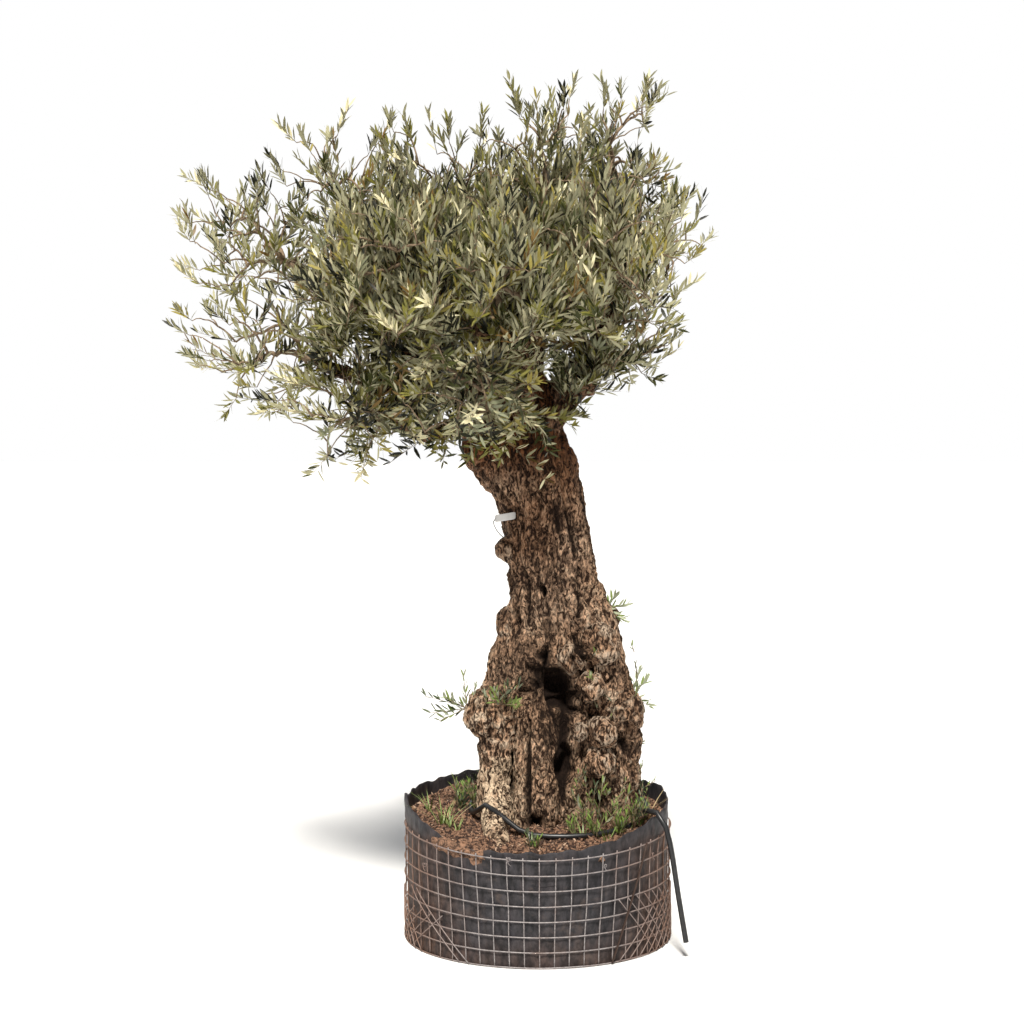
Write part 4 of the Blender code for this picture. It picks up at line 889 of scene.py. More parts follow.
BURLS = np.array([
    (-0.160, -0.02, 1.480, 0.068), (-0.085, -0.02, 1.180, 0.040), (-0.075, -0.03, 0.955, 0.052),
    (-0.145, -0.03, 0.680, 0.078), (0.185, -0.085, 0.895, 0.056), (0.105, -0.105, 0.862, 0.038),
    (0.238, -0.03, 0.685, 0.078), (0.250, -0.02, 0.500, 0.062), (0.190, -0.115, 0.545, 0.044),
    (0.158, -0.112, 0.772, 0.042), (0.198, -0.118, 0.640, 0.044), (0.112, -0.135, 0.640, 0.028),
    (0.200, 0.02, 0.975, 0.045), (-0.060, 0.12, 0.620, 0.065), (0.120, 0.17, 0.760, 0.060),
    (0.020, 0.10, 1.120, 0.045), (-0.080, 0.06, 0.840, 0.050),
    (0.255, 0.08, 0.420, 0.060), (0.060, 0.03, 1.440, 0.060), (-0.060, 0.08, 1.380, 0.050)])
print("strands:", len(STRANDS), "burls:", len(BURLS))

# %% [markdown]
# Voxel remesh fills the bundle with a grid of small cells and draws one skin round those inside. The
# smaller the cell, the finer the skin. A short smoothing then takes the steps of the grid away.

# %% Melt them into one skin
VOXEL = 0.0052
STRAND_SIDES = 20


def ball(x, y, z, radius, rings=14, sides=STRAND_SIDES):
    """A ball as a tube along its own axis: the radius at each height is that of a half circle."""
    turn = np.linspace(0.02, np.pi - 0.02, rings)
    path = np.column_stack([np.full(rings, x), np.full(rings, y), z - radius * np.cos(turn)])
    return sweep(path[None], (radius * np.sin(turn))[None], sides, (0.9, 0.1, 0.0))


def read_rows(items, name, kind):
    """Three numbers of each item of a mesh, as rows."""
    values = np.zeros(len(items) * 3, kind)
    items.foreach_get(name, values)
    return values.reshape(-1, 3)


bodies = []
for strand in STRANDS.values():
    course = smooth_curve(strand, 0.03)
    bodies.append(sweep(course[None, :, :3], course[None, :, 3], STRAND_SIDES))
bodies += [ball(*burl) for burl in BURLS]
rough = put_in_scene("rough_trunk", new_mesh("rough_trunk", *joined(bodies)))
melt = rough.modifiers.new("melt", "REMESH")
melt.mode = "VOXEL"
melt.voxel_size = VOXEL
soften = rough.modifiers.new("soften", "SMOOTH")
soften.factor = 0.6
soften.iterations = 4
melted = rough.evaluated_get(bpy.context.evaluated_depsgraph_get()).to_mesh()
melted.calc_loop_triangles()
trunk_points = read_rows(melted.vertices, "co", np.float32).astype(float)
trunk_normals = read_rows(melted.vertices, "normal", np.float32).astype(float)
trunk_faces = read_rows(melted.loop_triangles, "vertices", np.int32)
bpy.data.objects.remove(rough)
print("melted trunk:", len(trunk_points), "points")

# %% [markdown]
# Where strands have died, the wood has rotted into hollows, and long cracks part the strands. Both are pushed in from
# the melted skin: a bell curve round a point for a hollow, one round a line for a crack. Each is listed one by one,
# because these few big forms make this trunk the one it is.

# %% Hollows and cracks
# Each hollow: its place on the bark, its reach across, along Y and up, and how deep it goes.
HOLLOWS = np.array([
    (0.016, -0.15, 0.850, 0.018, 0.11, 0.038, 0.070), (0.038, -0.15, 0.805, 0.036, 0.11, 0.034, 0.090),
    (0.062, -0.15, 0.768, 0.040, 0.11, 0.038, 0.100), (0.086, -0.15, 0.730, 0.040, 0.11, 0.034, 0.095),
    (0.112, -0.15, 0.702, 0.034, 0.11, 0.024, 0.070), (-0.008, -0.15, 0.808, 0.026, 0.10, 0.032, 0.080),
    (-0.030, -0.15, 0.775, 0.018, 0.10, 0.034, 0.070), (0.020, -0.15, 0.720, 0.036, 0.11, 0.050, 0.024),
    (0.055, -0.16, 0.640, 0.060, 0.11, 0.060, 0.016),
    (0.084, -0.15, 0.541, 0.022, 0.10, 0.058, 0.070), (0.110, -0.15, 0.855, 0.012, 0.10, 0.030, 0.035),
    (0.159, -0.16, 0.933, 0.015, 0.09, 0.013, 0.035), (-0.063, -0.10, 0.984, 0.009, 0.08, 0.022, 0.025),
    (0.013, -0.12, 1.060, 0.010, 0.08, 0.020, 0.030), (0.120, -0.12, 1.110, 0.007, 0.08, 0.035, 0.022),
    (0.045, -0.19, 0.605, 0.020, 0.09, 0.012, 0.030), (0.184, -0.15, 0.498, 0.018, 0.09, 0.013, 0.030),
    (0.265, -0.10, 0.600, 0.012, 0.09, 0.045, 0.030), (-0.009, -0.15, 0.366, 0.024, 0.10, 0.032, 0.060),
    (0.155, -0.14, 0.820, 0.012, 0.09, 0.020, 0.030), (0.215, -0.15, 0.800, 0.010, 0.09, 0.012, 0.022),
    (0.100, 0.24, 0.560, 0.035, 0.10, 0.110, 0.050), (-0.030, 0.22, 0.720, 0.020, 0.10, 0.060, 0.035),
    (0.120, 0.15, 1.050, 0.018, 0.09, 0.060, 0.030), (0.290, 0.05, 0.560, 0.10, 0.03, 0.060, 0.035),
    (-0.170, 0.03, 0.450, 0.09, 0.022, 0.090, 0.035)])
HOLLOW_EDGE = 1.7         # the larger, the steeper a hollow's walls
# Each crack: where it starts and ends on the bark, its width and its depth.
CRACKS = np.array([
    (-0.031, -0.16, 0.344, -0.031, -0.15, 0.680, 0.0055, 0.040),
    (-0.080, -0.10, 0.440, -0.079, -0.10, 0.566, 0.0065, 0.032),
    (-0.040, -0.14, 0.660, -0.069, -0.14, 0.612, 0.0050, 0.020),
    (0.108, -0.14, 0.925, 0.140, -0.14, 0.855, 0.0075, 0.030),
    (0.070, -0.18, 0.430, 0.075, -0.17, 0.690, 0.0130, 0.028),
    (-0.030, -0.12, 0.960, -0.045, -0.12, 1.160, 0.0045, 0.014),
    (0.060, -0.12, 1.200, 0.045, -0.13, 1.330, 0.0045, 0.014),
    (0.105, -0.10, 1.150, 0.090, -0.10, 1.290, 0.0055, 0.020),
    (0.125, -0.10, 0.980, 0.118, -0.10, 1.080, 0.0045, 0.016),
    (-0.030, 0.20, 0.380, -0.010, 0.19, 0.900, 0.0080, 0.030),
    (0.170, 0.18, 0.400, 0.140, 0.14, 0.950, 0.0080, 0.028),
    (0.020, 0.15, 1.000, -0.040, 0.13, 1.450, 0.0065, 0.020)])


def hollowed(points):
    """Depth of the hollows at points: for each, its depth times a bell curve of the distance, with
    wavy borders; the deepest one counts."""
    apart = (points + drift(points, 0.030, 80) * 0.014)[:, None] - HOLLOWS[None, :, :3]
    square = ((apart / HOLLOWS[None, :, 3:6]) ** 2).sum(-1)
    return (HOLLOWS[None, :, 6] * np.exp(-square ** HOLLOW_EDGE)).max(1)


def cracked(points):
    """Depth of the cracks at points: a narrow bell curve of the distance to each crack's line."""
    start, end = CRACKS[:, :3], CRACKS[:, 3:6]
    along = end - start
    apart = (points + drift(points * (1, 1, 0.5), 0.040, 90) * 0.009)[:, None] - start[None]
    share = held((apart * along).sum(-1) / (along ** 2).sum(-1))
    gap = apart - share[..., None] * along[None]
    gap[..., 1] *= 0.12
    width = CRACKS[None, :, 6] * (1.15 - 0.9 * np.abs(share - 0.5))
    return (CRACKS[None, :, 7] * np.exp(-(np.linalg.norm(gap, axis=-1) / width) ** 2)).max(1)


deep = hollowed(trunk_points)
split = cracked(trunk_points)
print("hollows:", len(HOLLOWS), "cracks:", len(CRACKS), "deepest:", round(deep.max() * 1000), "mm")

# %% [markdown]
# The bark between them has three looks. Over the strands it is stringy: crests that climb and turn
# round the trunk a little. Finer flakes lie across them. On the burls the grain curls in rings round
# each knob. All three are ridged noise, read at places bent to suit: wound round the heart, or
# measured out from a burl's axis. Broad ribs and lumps, the same as the solid trunk has, come on top.

# %% Bark relief
RIBS = 9
RIB_TWIST = 0.9
RIB_HEIGHT = 0.0065
RIB_WANDER = (1.5, 7.0)
LUMP_HEIGHT = 0.0075
LUMP_PLACES = ((38, 0, 11, 0.0), (0, 34, 27, 1.3))
RIB_FOOT = 0.44
RIB_TOP = 1.47
RIB_FADE = 0.10
STRING_SQUEEZE = 0.14
FLAKE_SQUEEZE = 0.32
STRINGS = ((ridged, 1, 0.026, 101, 0.0050), (ridged, 1, 0.0120, 102, 0.0042))
FLAKES = ((ridged, 1, 0.0085, 103, 0.0032),)
PLATES = ((ridged, 0.45, 0.020, 104, 0.0024),)
CURLS = ((ridged, 1, 0.0165, 105, 0.0085),)
KNOBS = ((ridged, 1, 0.0240, 106, 0.0055), (noise, 1, 0.0090, 107, 0.0030))


def round_heart(points):
    """The angle of points round the trunk's heart, and how far out they are."""
    heart = np.array(STRANDS["heart"])
    x = points[:, 0] - np.interp(points[:, 2], heart[:, 2], heart[:, 0])
    y = points[:, 1] - np.interp(points[:, 2], heart[:, 2], heart[:, 1])
    return np.arctan2(y, x), np.hypot(x, y)


def grain_place(points, squeeze):
    """Places for stringy bark: the angle round the heart, turned a little more at each height,
    laid on a circle, with the height squeezed so that a noise cell becomes a long strand."""
    angle, reach = round_heart(points)
    sway = noise(points, 0.20, 95) * 0.35 + noise(points, 0.06, 96) * 0.13
    angle = angle + RIB_TWIST * points[:, 2] + sway
    return np.column_stack([np.cos(angle) * 0.16, np.sin(angle) * 0.16, points[:, 2] * squeeze + reach * 0.2])


def burl_rings(points, nearest):
    """Places for curly bark: the distance from the burl's own axis, which points out of the
    trunk, bent by noise and broken up by a slow change round the axis."""
    centre = BURLS[nearest, :3]
    angle = round_heart(centre)[0]
    axis = unit(np.column_stack([np.cos(angle), np.sin(angle), 0.25 + 0 * angle]))
    apart = points - centre
    out = (apart * axis).sum(1)
    flat = apart - out[:, None] * axis
    ring = np.linalg.norm(flat, axis=1) + noise(points, 0.028, 97) * 0.014
    return np.column_stack([ring, flat[:, 2] * 0.30, out * 0.30])


def lump(points, along_x, along_y, along_z, shift):
    """A sine wave through space: the lumps are the product of two."""
    return np.sin(points @ (along_x, along_y, along_z) + shift)


gap_to_burl = np.linalg.norm(trunk_points[:, None] - BURLS[None, :, :3], axis=-1) / BURLS[None, :, 3]
burl_share = held(1.75 - gap_to_burl.min(1)) ** 1.2
head_share = held((trunk_points[:, 2] - 1.36) / 0.12)
around = round_heart(trunk_points)[0]
height = trunk_points[:, 2]
ribs = np.cos(RIBS * (around + RIB_TWIST * height) + RIB_WANDER[0] * np.sin(RIB_WANDER[1] * height))
bulges = lump(trunk_points, *LUMP_PLACES[0]) * lump(trunk_points, *LUMP_PLACES[1])
fade = held(np.minimum(height - RIB_FOOT, RIB_TOP - height) / RIB_FADE)
swell = (RIB_HEIGHT * ribs + LUMP_HEIGHT * bulges) * fade
stringy = (layered(grain_place(trunk_points, STRING_SQUEEZE), STRINGS)
           + layered(grain_place(trunk_points, FLAKE_SQUEEZE), FLAKES) + layered(trunk_points, PLATES))
knobby = layered(burl_rings(trunk_points, gap_to_burl.argmin(1)), CURLS) + layered(trunk_points, KNOBS)
relief = stringy * (1 - burl_share) + knobby * burl_share
relief = relief * np.clip(1 - deep / 0.08, 0.45, 1)
trunk_shape = trunk_points + trunk_normals * (relief + swell - deep - split)[:, None]
print("relief from", round(relief.min() * 1000, 1), "to", round(relief.max() * 1000, 1), "mm")

# %% [markdown]
# The bark's colour follows its shape. Crests are weathered to tan and grey; the grooves between them get a painted
# shade, dirt stains lie here and there, and the front recess, the hollows and the cracks are painted nearly black as
# shade. The left leg and the root in front are bleached pale and carry a painted sunlit highlight, and the top of the
# trunk is rust red, darkened by a painted shade of the crown. These four amounts are stored on the points, and the
# material mixes plain colours by them.

# %% Bark finish


def bark_finish(name):
    """A rough bark. Fine grain runs up it, and curly flakes, a noise strongly bent by itself, lie over that: their
    edges, the low parts, are painted near black as shade in the crevices, and their tops take the pale, grey and red
    of the points, where the pale is partly a painted sunlit highlight and the red partly a painted shade of the crown."""
    material, tree, grain, dusting = grain_and_dust(
        name, (0.050, 0.026, 0.014), (0.780, 0.465, 0.285), (0.70, 0.52, 0.37), amount=0.15, scale=170,
        contrast=0.12, stretch=0.50, roughness=0.90, bump=1.0, depth=0.012, dust_scale=60)
    shader = tree.nodes["Principled BSDF"]
    set_inputs(shader, {"Specular IOR Level": 0.12})
    flakes = put_node(tree, "TexNoise", {"Scale": 70.0, "Detail": 5.0, "Distortion": 1.6})
    top = ramp(tree, flakes.outputs["Fac"], 0.38, 0.56)
    height = put_node(tree, "Math", operation="ADD")
    relief = next(node for node in tree.nodes if node.type == "BUMP")
    join_nodes(tree, (grain.inputs["Place"].links[0].from_socket, flakes.inputs["Vector"]),
               (grain.outputs["Height"], height.inputs[0]), (top, height.inputs[1]),
               (height.outputs[0], relief.inputs["Height"]))
    # The low parts of the flakes are painted near black: a painted shade in the crevices between them.
    colour = mix_colour(tree, top, (0.030, 0.015, 0.009), dusting.outputs["Colour"])
    # The pale tint is partly a painted sunlit highlight.
    for amount, tint in (("pale", (0.850, 0.650, 0.450)), ("grey", (0.640, 0.540, 0.430))):
        part = put_node(tree, "Math", operation="MULTIPLY")
        join_nodes(tree, (attribute(tree, amount), part.inputs[0]), (top, part.inputs[1]))
        colour = mix_colour(tree, part.outputs[0], colour, tint)
    # Rust-red bark for the trunk's top, darkened as a painted shade of the crown.
    rust = mix_colour(tree, top, (0.022, 0.009, 0.005), (0.230, 0.088, 0.034))
    colour = mix_colour(tree, attribute(tree, "red"), colour, rust)
    # Where the dark amount is high the bark turns near black: mostly painted shade, partly stains.
    colour = mix_colour(tree, attribute(tree, "dark"), colour, (0.021, 0.012, 0.008))
    join_nodes(tree, (colour, shader.inputs["Base Color"]))
    return material


def tag_bark(piece, pale, grey, red, dark):
    """Store the four colour amounts of the bark."""
    for name, values in (("pale", pale), ("grey", grey), ("red", red), ("dark", dark)):
        tag_points(piece, name, held(values))


bark = bark_finish("bark")
print("bark finish:", len(bark.node_tree.nodes), "nodes")

# %% [markdown]
# The four amounts come from what is known at each point: how high it stands in the relief, how deep
# in a hollow or crack, how near to a burl, and where on the trunk. Middle and spread of the relief
# set what counts as a crest or a groove, so that they follow any change to it.

# %% Colour the bark by its shape
middle, wide = np.median(relief), relief.std()
crest = held((relief - middle) / (1.4 * wide))
groove = held((middle - 0.15 * wide - relief) / (1.0 * wide))
x, y, z = trunk_points.T
leg_share = held((-0.035 - x) / 0.04) * held((0.93 - z) / 0.12)
toe_share = leg_share * held((0.56 - z) / 0.08)
fleck = speckle(trunk_points, 0.009, 120)
patch = speckle(trunk_points, 0.10, 121)
# The pale is weathering on the crests and, on the left leg and root, partly a painted sunlit highlight.
pale = crest * (0.30 + 0.50 * leg_share + 0.45 * toe_share) * (0.30 + 0.9 * fleck) + 0.30 * toe_share
grey = burl_share * (0.35 + 0.6 * patch) * crest + 0.20 * patch * (1 - burl_share)
# Red: rust-red bark at the top, darkened as a painted shade of the crown.
red = head_share * (0.50 + 0.45 * patch) + 0.55 * (1 - patch) * held((z - 0.95) / 0.35)
# A painted shade over the front recess between the left leg and the right mass.
painted_recess_shade = np.exp(-((x - 0.045) / 0.075) ** 2 - ((z - 0.66) / 0.20) ** 2) * (y < 0)
stained = held(noise(trunk_points, 0.060, 122) * 1.6 - 0.15)
damp = held((0.40 - z) / 0.06)
# Dark: painted shade in the grooves, the front recess, the hollows and the cracks, plus real stains and damp at the
# foot.
dark = (groove * 0.52 + 0.12 * painted_recess_shade + (0.25 * stained + 0.20 * damp) * (1 - leg_share)
        + held(deep / 0.040) * 0.90 + held(split / 0.010) * 0.95)
trunk = new_piece("trunk_bark", trunk_shape, trunk_faces, [bark], "bark", ["trunk"])
tag_bark(trunk, pale, grey, red, dark)
print("share of dark bark:", round(float((dark > 0.5).mean()), 2))

# %% [markdown]
# ## The boughs
# Sixteen limbs leave the trunk's head and carry the crown. Each is a profile carried along a path:
# it springs from its root to its own side, then climbs to its tip and tapers on the way. The
# ridges along it are noise in the profile's own two directions, round and along.

# %% Boughs
BOUGHS = {
    "left": (None, 0.0, (-0.1, 0.01, 1.59), (-0.1, 0.0, 0.08), (-0.66, -0.03, 1.74), 0.044, 0.017),
    "upper_left": (None, 0.0, (-0.07, 0.02, 1.66), (-0.08, 0.02, 0.14), (-0.72, 0.0, 2.02), 0.04, 0.015),
    "top": (None, 0.0, (-0.03, 0.0, 1.68), (0.01, 0.0, 0.16), (0.02, 0.0, 2.22), 0.042, 0.015),
    "right": (None, 0.0, (0.01, 0.03, 1.61), (0.1, 0.02, 0.1), (0.28, 0.0, 2.05), 0.038, 0.015),
    "low_right": (None, 0.0, (0.03, -0.05, 1.55), (0.08, -0.02, 0.09), (0.17, -0.04, 1.735), 0.032, 0.016),
    "front": (None, 0.0, (-0.05, -0.07, 1.6), (0.0, -0.1, 0.1), (-0.11, -0.26, 1.88), 0.036, 0.015),
    "back": (None, 0.0, (-0.05, 0.08, 1.6), (0.0, 0.1, 0.12), (-0.13, 0.34, 2.07), 0.038, 0.015),
    "low_left": (None, 0.0, (-0.14, -0.04, 1.49), (-0.08, -0.03, 0.04), (-0.44, -0.08, 1.57), 0.026, 0.013),
    "middle_left": ("left", 0.42, None, (0.0, -0.04, 0.06), (-0.5, -0.1, 1.86), 0.022, 0.013),
    "high_left": ("upper_left", 0.6, None, (0.0, 0.03, 0.07), (-0.57, 0.06, 2.2), 0.02, 0.012),
    "top_left": ("top", 0.22, None, (-0.08, 0.02, 0.08), (-0.26, 0.02, 2.17), 0.022, 0.012),
    "top_right": ("right", 0.45, None, (0.0, 0.03, 0.08), (0.22, 0.06, 2.28), 0.02, 0.012),
    "front_left": ("front", 0.5, None, (-0.04, -0.02, 0.03), (-0.33, -0.33, 1.97), 0.02, 0.012),
    "front_right": ("front", 0.62, None, (0.05, -0.02, 0.03), (0.11, -0.29, 1.96), 0.019, 0.012),
    "back_left": ("back", 0.45, None, (-0.05, 0.02, 0.03), (-0.38, 0.32, 2.02), 0.021, 0.012),
    "back_right": ("back", 0.55, None, (0.05, 0.02, 0.03), (0.12, 0.33, 2.06), 0.021, 0.012),
}


def bough_course(name, step=0.12):
    """A bough's path: its root, a point to its own side, a slightly sagging middle, and its tip."""
    parent, share, root, lean, tip, thick, thin = BOUGHS[name]
    if parent:
        limb = bough_course(parent)
        root = limb[round(share * (len(limb) - 1)), :3]
    start, end = np.array(root, float), np.array(tip, float)
    side = start + np.array(lean) * 1.3
    middle = (side + end) / 2 - UP * 0.04
    course = smooth_curve([start, side, middle, end], step)
    return np.column_stack([course, np.linspace(thick, thin, len(course))])


print("boughs:", len(BOUGHS))

# %% [markdown]
# All limbs are joined into one piece before the ridges are laid on, so that one expression moves all
# their points out from the middle of their own ring.

# %% Bark of the boughs
BOUGH_SIDES = 22
BOUGH_RINGS = 70
BOUGH_RELIEF = 0.085      # height of the ridges as a share of the limb's thickness

limbs, turns, runs = [], [], []
for name in BOUGHS:
    course = bough_course(name, 0.02)
    even = np.linspace(0, 1, BOUGH_RINGS)
    start = np.linspace(0, 1, len(course))
    path = np.column_stack([np.interp(even, start, course[:, i]) for i in range(4)])
    flare = 1 + 0.45 * np.exp(-even / 0.05)
    path[:, :3] += drift(path[:, :3], 0.10, 130) * 0.006 * held(even * 6)[:, None]
    limbs.append(sweep(path[None, :, :3], (path[:, 3] * flare)[None], BOUGH_SIDES))
    run = np.linalg.norm(course[-1, :3] - course[0, :3]) * even
    turns.append(np.tile(2 * np.pi * np.arange(BOUGH_SIDES) / BOUGH_SIDES, BOUGH_RINGS))
    runs.append(np.repeat(run, BOUGH_SIDES) + 3.0 * len(runs))
bough_points, bough_faces = joined(limbs)
turns, runs = np.concatenate(turns), np.concatenate(runs)
centres = bough_points.reshape(-1, BOUGH_SIDES, 3).mean(1).repeat(BOUGH_SIDES, 0)
outward = bough_points - centres
thickness = np.linalg.norm(outward, axis=1)
strings = np.column_stack([np.cos(turns) * 0.045, np.sin(turns) * 0.045, runs * 0.20])
bough_relief = ridged(strings, 0.020, 140) + 0.6 * ridged(strings, 0.009, 141) + 0.4 * noise(bough_points, 0.02, 142)
bough_shape = bough_points + unit(outward) * (bough_relief * BOUGH_RELIEF * thickness)[:, None]
boughs = new_piece("bough_bark", bough_shape, bough_faces, [bark], "bark", [f"bough_{name}" for name in BOUGHS])
fleck = speckle(bough_points, 0.012, 143)
# On the boughs the dark in the grooves between ridges is painted shade, and the red, as on the trunk's top, is partly
# a painted shade of the crown.
tag_bark(boughs, held(bough_relief) * 0.22 * fleck, 0.30 * fleck, 0.35 + 0.3 * fleck,
         held(-bough_relief) * 0.8 + 0.15)

# %% [markdown]
# ## The crown's masses
# The crown is eighteen masses of foliage, each with its own centre, reach to the side and reach up,
# and some with far tips that stand out of the outline. A mass keeps to its own space: a point
# belongs to the mass whose centre it is nearest to, after the square of each mass's reach is taken
# off. Where the sky shows between them, a few named openings stay free of leaves.

# %% Masses, openings and the rule of their spaces
MASSES = {
    "far_left_top": ("upper_left", (-0.86, 0.0, 2.10), 0.24, 0.24,
                     [(-1.08, 0.0, 2.21), (-1.01, -0.08, 2.275), (-0.90, 0.05, 2.335)]),
    "far_left_low": ("left", (-0.84, -0.05, 1.78), 0.26, 0.20,
                     [(-1.075, 0.0, 1.845), (-1.02, -0.1, 1.715), (-0.84, 0.0, 1.63)]),
    "high_left": ("high_left", (-0.60, 0.05, 2.27), 0.23, 0.21,
                  [(-0.76, 0.0, 2.394), (-0.64, 0.05, 2.484), (-0.56, 0.0, 2.38)]),
    "middle_left": ("middle_left", (-0.52, -0.16, 1.89), 0.27, 0.22, []),
    "low_left": ("low_left", (-0.56, -0.10, 1.60), 0.28, 0.19, [(-0.60, -0.05, 1.395), (-0.72, -0.1, 1.57)]),
    "top_left": ("top_left", (-0.30, 0.0, 2.27), 0.25, 0.24, [(-0.34, 0.0, 2.534), (-0.15, 0.1, 2.455)]),
    "top": ("top", (0.02, 0.0, 2.33), 0.25, 0.25,
            [(-0.10, 0.0, 2.635), (-0.01, -0.05, 2.573), (0.072, 0.05, 2.582)]),
    "top_right": ("top_right", (0.27, 0.05, 2.35), 0.22, 0.24,
                  [(0.351, 0.0, 2.641), (0.396, 0.08, 2.63), (0.457, 0.0, 2.335)]),
    "right": ("right", (0.32, 0.0, 2.09), 0.21, 0.22, [(0.502, 0.0, 2.29), (0.537, 0.0, 2.081)]),
    "low_right": ("low_right", (0.22, -0.05, 1.84), 0.23, 0.18, [(0.429, 0.0, 1.786), (0.28, -0.05, 1.675)]),
    "front": ("front", (-0.10, -0.40, 1.98), 0.28, 0.27, []),
    "front_left": ("front_left", (-0.38, -0.38, 1.99), 0.29, 0.27, []),
    "front_right": ("front_right", (0.20, -0.36, 2.03), 0.26, 0.28, []),
    "back_left": ("back_left", (-0.47, 0.40, 2.10), 0.30, 0.28, []),
    "back": ("back", (-0.13, 0.46, 2.20), 0.29, 0.28, []),
    "back_right": ("back_right", (0.20, 0.38, 2.12), 0.27, 0.28, []),
    "low_middle": ((-0.12, -0.13, 1.62), (-0.20, -0.30, 1.67), 0.26, 0.20, [(-0.342, -0.2, 1.47)]),
    "low_back": ((-0.08, 0.10, 1.50), (-0.17, 0.34, 1.72), 0.27, 0.21, []),
}
# Openings in the crown as seen from the front: centre and half width along X, the same along Z, and
# the share of shoots that may still cross it. The first rows lie at the left, the last at the right.
OPENINGS = np.array([
    (-0.950, 0.070, 2.063, 0.026, 0.0), (-0.880, 0.070, 1.905, 0.020, 0.1), (-0.866, 0.120, 1.780, 0.028, 0.4),
    (-1.090, 0.060, 1.775, 0.050, 0.0), (-1.000, 0.121, 1.660, 0.055, 0.1), (-0.730, 0.103, 1.503, 0.056, 0.0),
    (-0.402, 0.091, 1.472, 0.050, 0.3), (-0.548, 0.048, 2.385, 0.072, 0.1), (-0.711, 0.055, 2.260, 0.055, 0.0),
    (-0.726, 0.055, 2.350, 0.044, 0.4), (-0.887, 0.085, 2.266, 0.044, 0.4), (-0.314, 0.052, 2.415, 0.100, 0.08),
    (-0.217, 0.058, 2.475, 0.106, 0.0), (-0.123, 0.061, 2.475, 0.069, 0.3), (-0.036, 0.048, 2.543, 0.069, 0.2),
    (0.158, 0.036, 2.528, 0.050, 0.4), (0.274, 0.046, 2.427, 0.095, 0.15), (0.377, 0.073, 2.364, 0.156, 0.35),
    (0.467, 0.073, 2.305, 0.140, 0.25), (0.480, 0.090, 1.937, 0.135, 0.0), (0.355, 0.050, 2.006, 0.187, 0.5),
    (0.189, 0.110, 1.590, 0.070, 0.0), (0.165, 0.060, 1.680, 0.050, 0.35), (-0.611, 0.045, 2.335, 0.050, 0.2),
    (0.455, 0.050, 2.070, 0.045, 0.4)])
CENTRES = np.array([mass[1] for mass in MASSES.values()])
SIDES = np.array([mass[2] for mass in MASSES.values()])
RISES = np.array([mass[3] for mass in MASSES.values()])


def own_space(points, number):
    """True for points of a mass's own space: its squared distance less its squared reach is the
    smallest of all masses."""
    power = ((points[:, None] - CENTRES[None]) ** 2).sum(-1) - SIDES[None] ** 2
    return power.argmin(1) == number


def reach_share(points, number):
    """How far out points lie in a mass: 1 on the surface of its egg of reaches."""
    out = points - CENTRES[number]
    return np.sqrt((out[:, 0] ** 2 + out[:, 1] ** 2) / SIDES[number] ** 2 + (out[:, 2] / RISES[number]) ** 2)


def kept_share(points):
    """The share of shoots that may stand at points: that of the barest opening round each point,
    at any depth, and 1 where there is none."""
    across = (points[:, None, 0] - OPENINGS[None, :, 0]) / OPENINGS[None, :, 1]
    rise = (points[:, None, 2] - OPENINGS[None, :, 2]) / OPENINGS[None, :, 3]
    return np.where(across ** 2 + rise ** 2 < 1, OPENINGS[None, :, 4], 1.0).min(1)


print("masses:", len(MASSES), "openings:", len(OPENINGS))

# %% [markdown]
# ## Twigs by a seeded rule
# A mass grows from one stem at its bough's tip. Targets are spread evenly through its space, always
# taking the candidate that is furthest from those chosen. Each target is joined, nearest first, to
# the node of the twigs so far that costs least in length, so branches share their way like real
# ones. Leafy shoots then leave these branches outward and upward.

# %% Branches of a mass
TARGETS = 34
TWIG_RADIUS = 0.0014
PAIRS = 7


def even_targets(rng, number, count):
    """Points spread evenly through a mass: of many random ones, each time the one that is furthest
    from all chosen so far."""
    place = rng.uniform(-1, 1, (2600, 3))
    length = np.linalg.norm(place, axis=1)
    place = place[(length > 0.22) & (length < 0.86)]
    points = CENTRES[number] + place * (SIDES[number], SIDES[number], RISES[number])
    points = points[own_space(points, number) & (kept_share(points) > 0.45)]
    gap = np.full(len(points), 9.0)
    chosen = []
    for _step in range(count):
        best = int(gap.argmax())
        chosen.append(points[best])
        gap = np.minimum(gap, np.linalg.norm(points - points[best], axis=1))
    return np.array(chosen)


def branch_out(rng, foot, heading, targets):
    """Join targets to a stem: returns the branches as starts and ends, and the twigs each carries."""
    nodes = [np.array(foot), np.array(foot) + heading * 0.05]
    parents, run = [0, 0], [0.0, 0.05]
    for target in targets[np.argsort(np.linalg.norm(targets - foot, axis=1))]:
        cost = np.linalg.norm(np.array(nodes[1:]) - target, axis=1) + 0.4 * np.array(run[1:])
        parent = 1 + int(cost.argmin())
        between = (nodes[parent] + target) / 2 + rng.normal(0, 0.010, 3) + UP * 0.008
        for point in (between, target):
            nodes.append(point)
            parents.append(parent)
            run.append(run[parent] + float(np.linalg.norm(point - nodes[parent])))
            parent = len(nodes) - 1
    carried = np.ones(len(nodes))
    for index in range(len(nodes) - 1, 0, -1):
        carried[parents[index]] += carried[index]
    nodes = np.array(nodes)
    return nodes, np.array(parents), carried


def curved(start, heading, bend, length, steps):
    """Paths start + heading * s + bend * s^2 for s from 0 to length, for many at once."""
    s = np.linspace(0, 1, steps)[None, :, None] * length[:, None, None]
    return start[:, None] + heading[:, None] * s + bend[:, None] * s ** 2


print("twig rule ready")

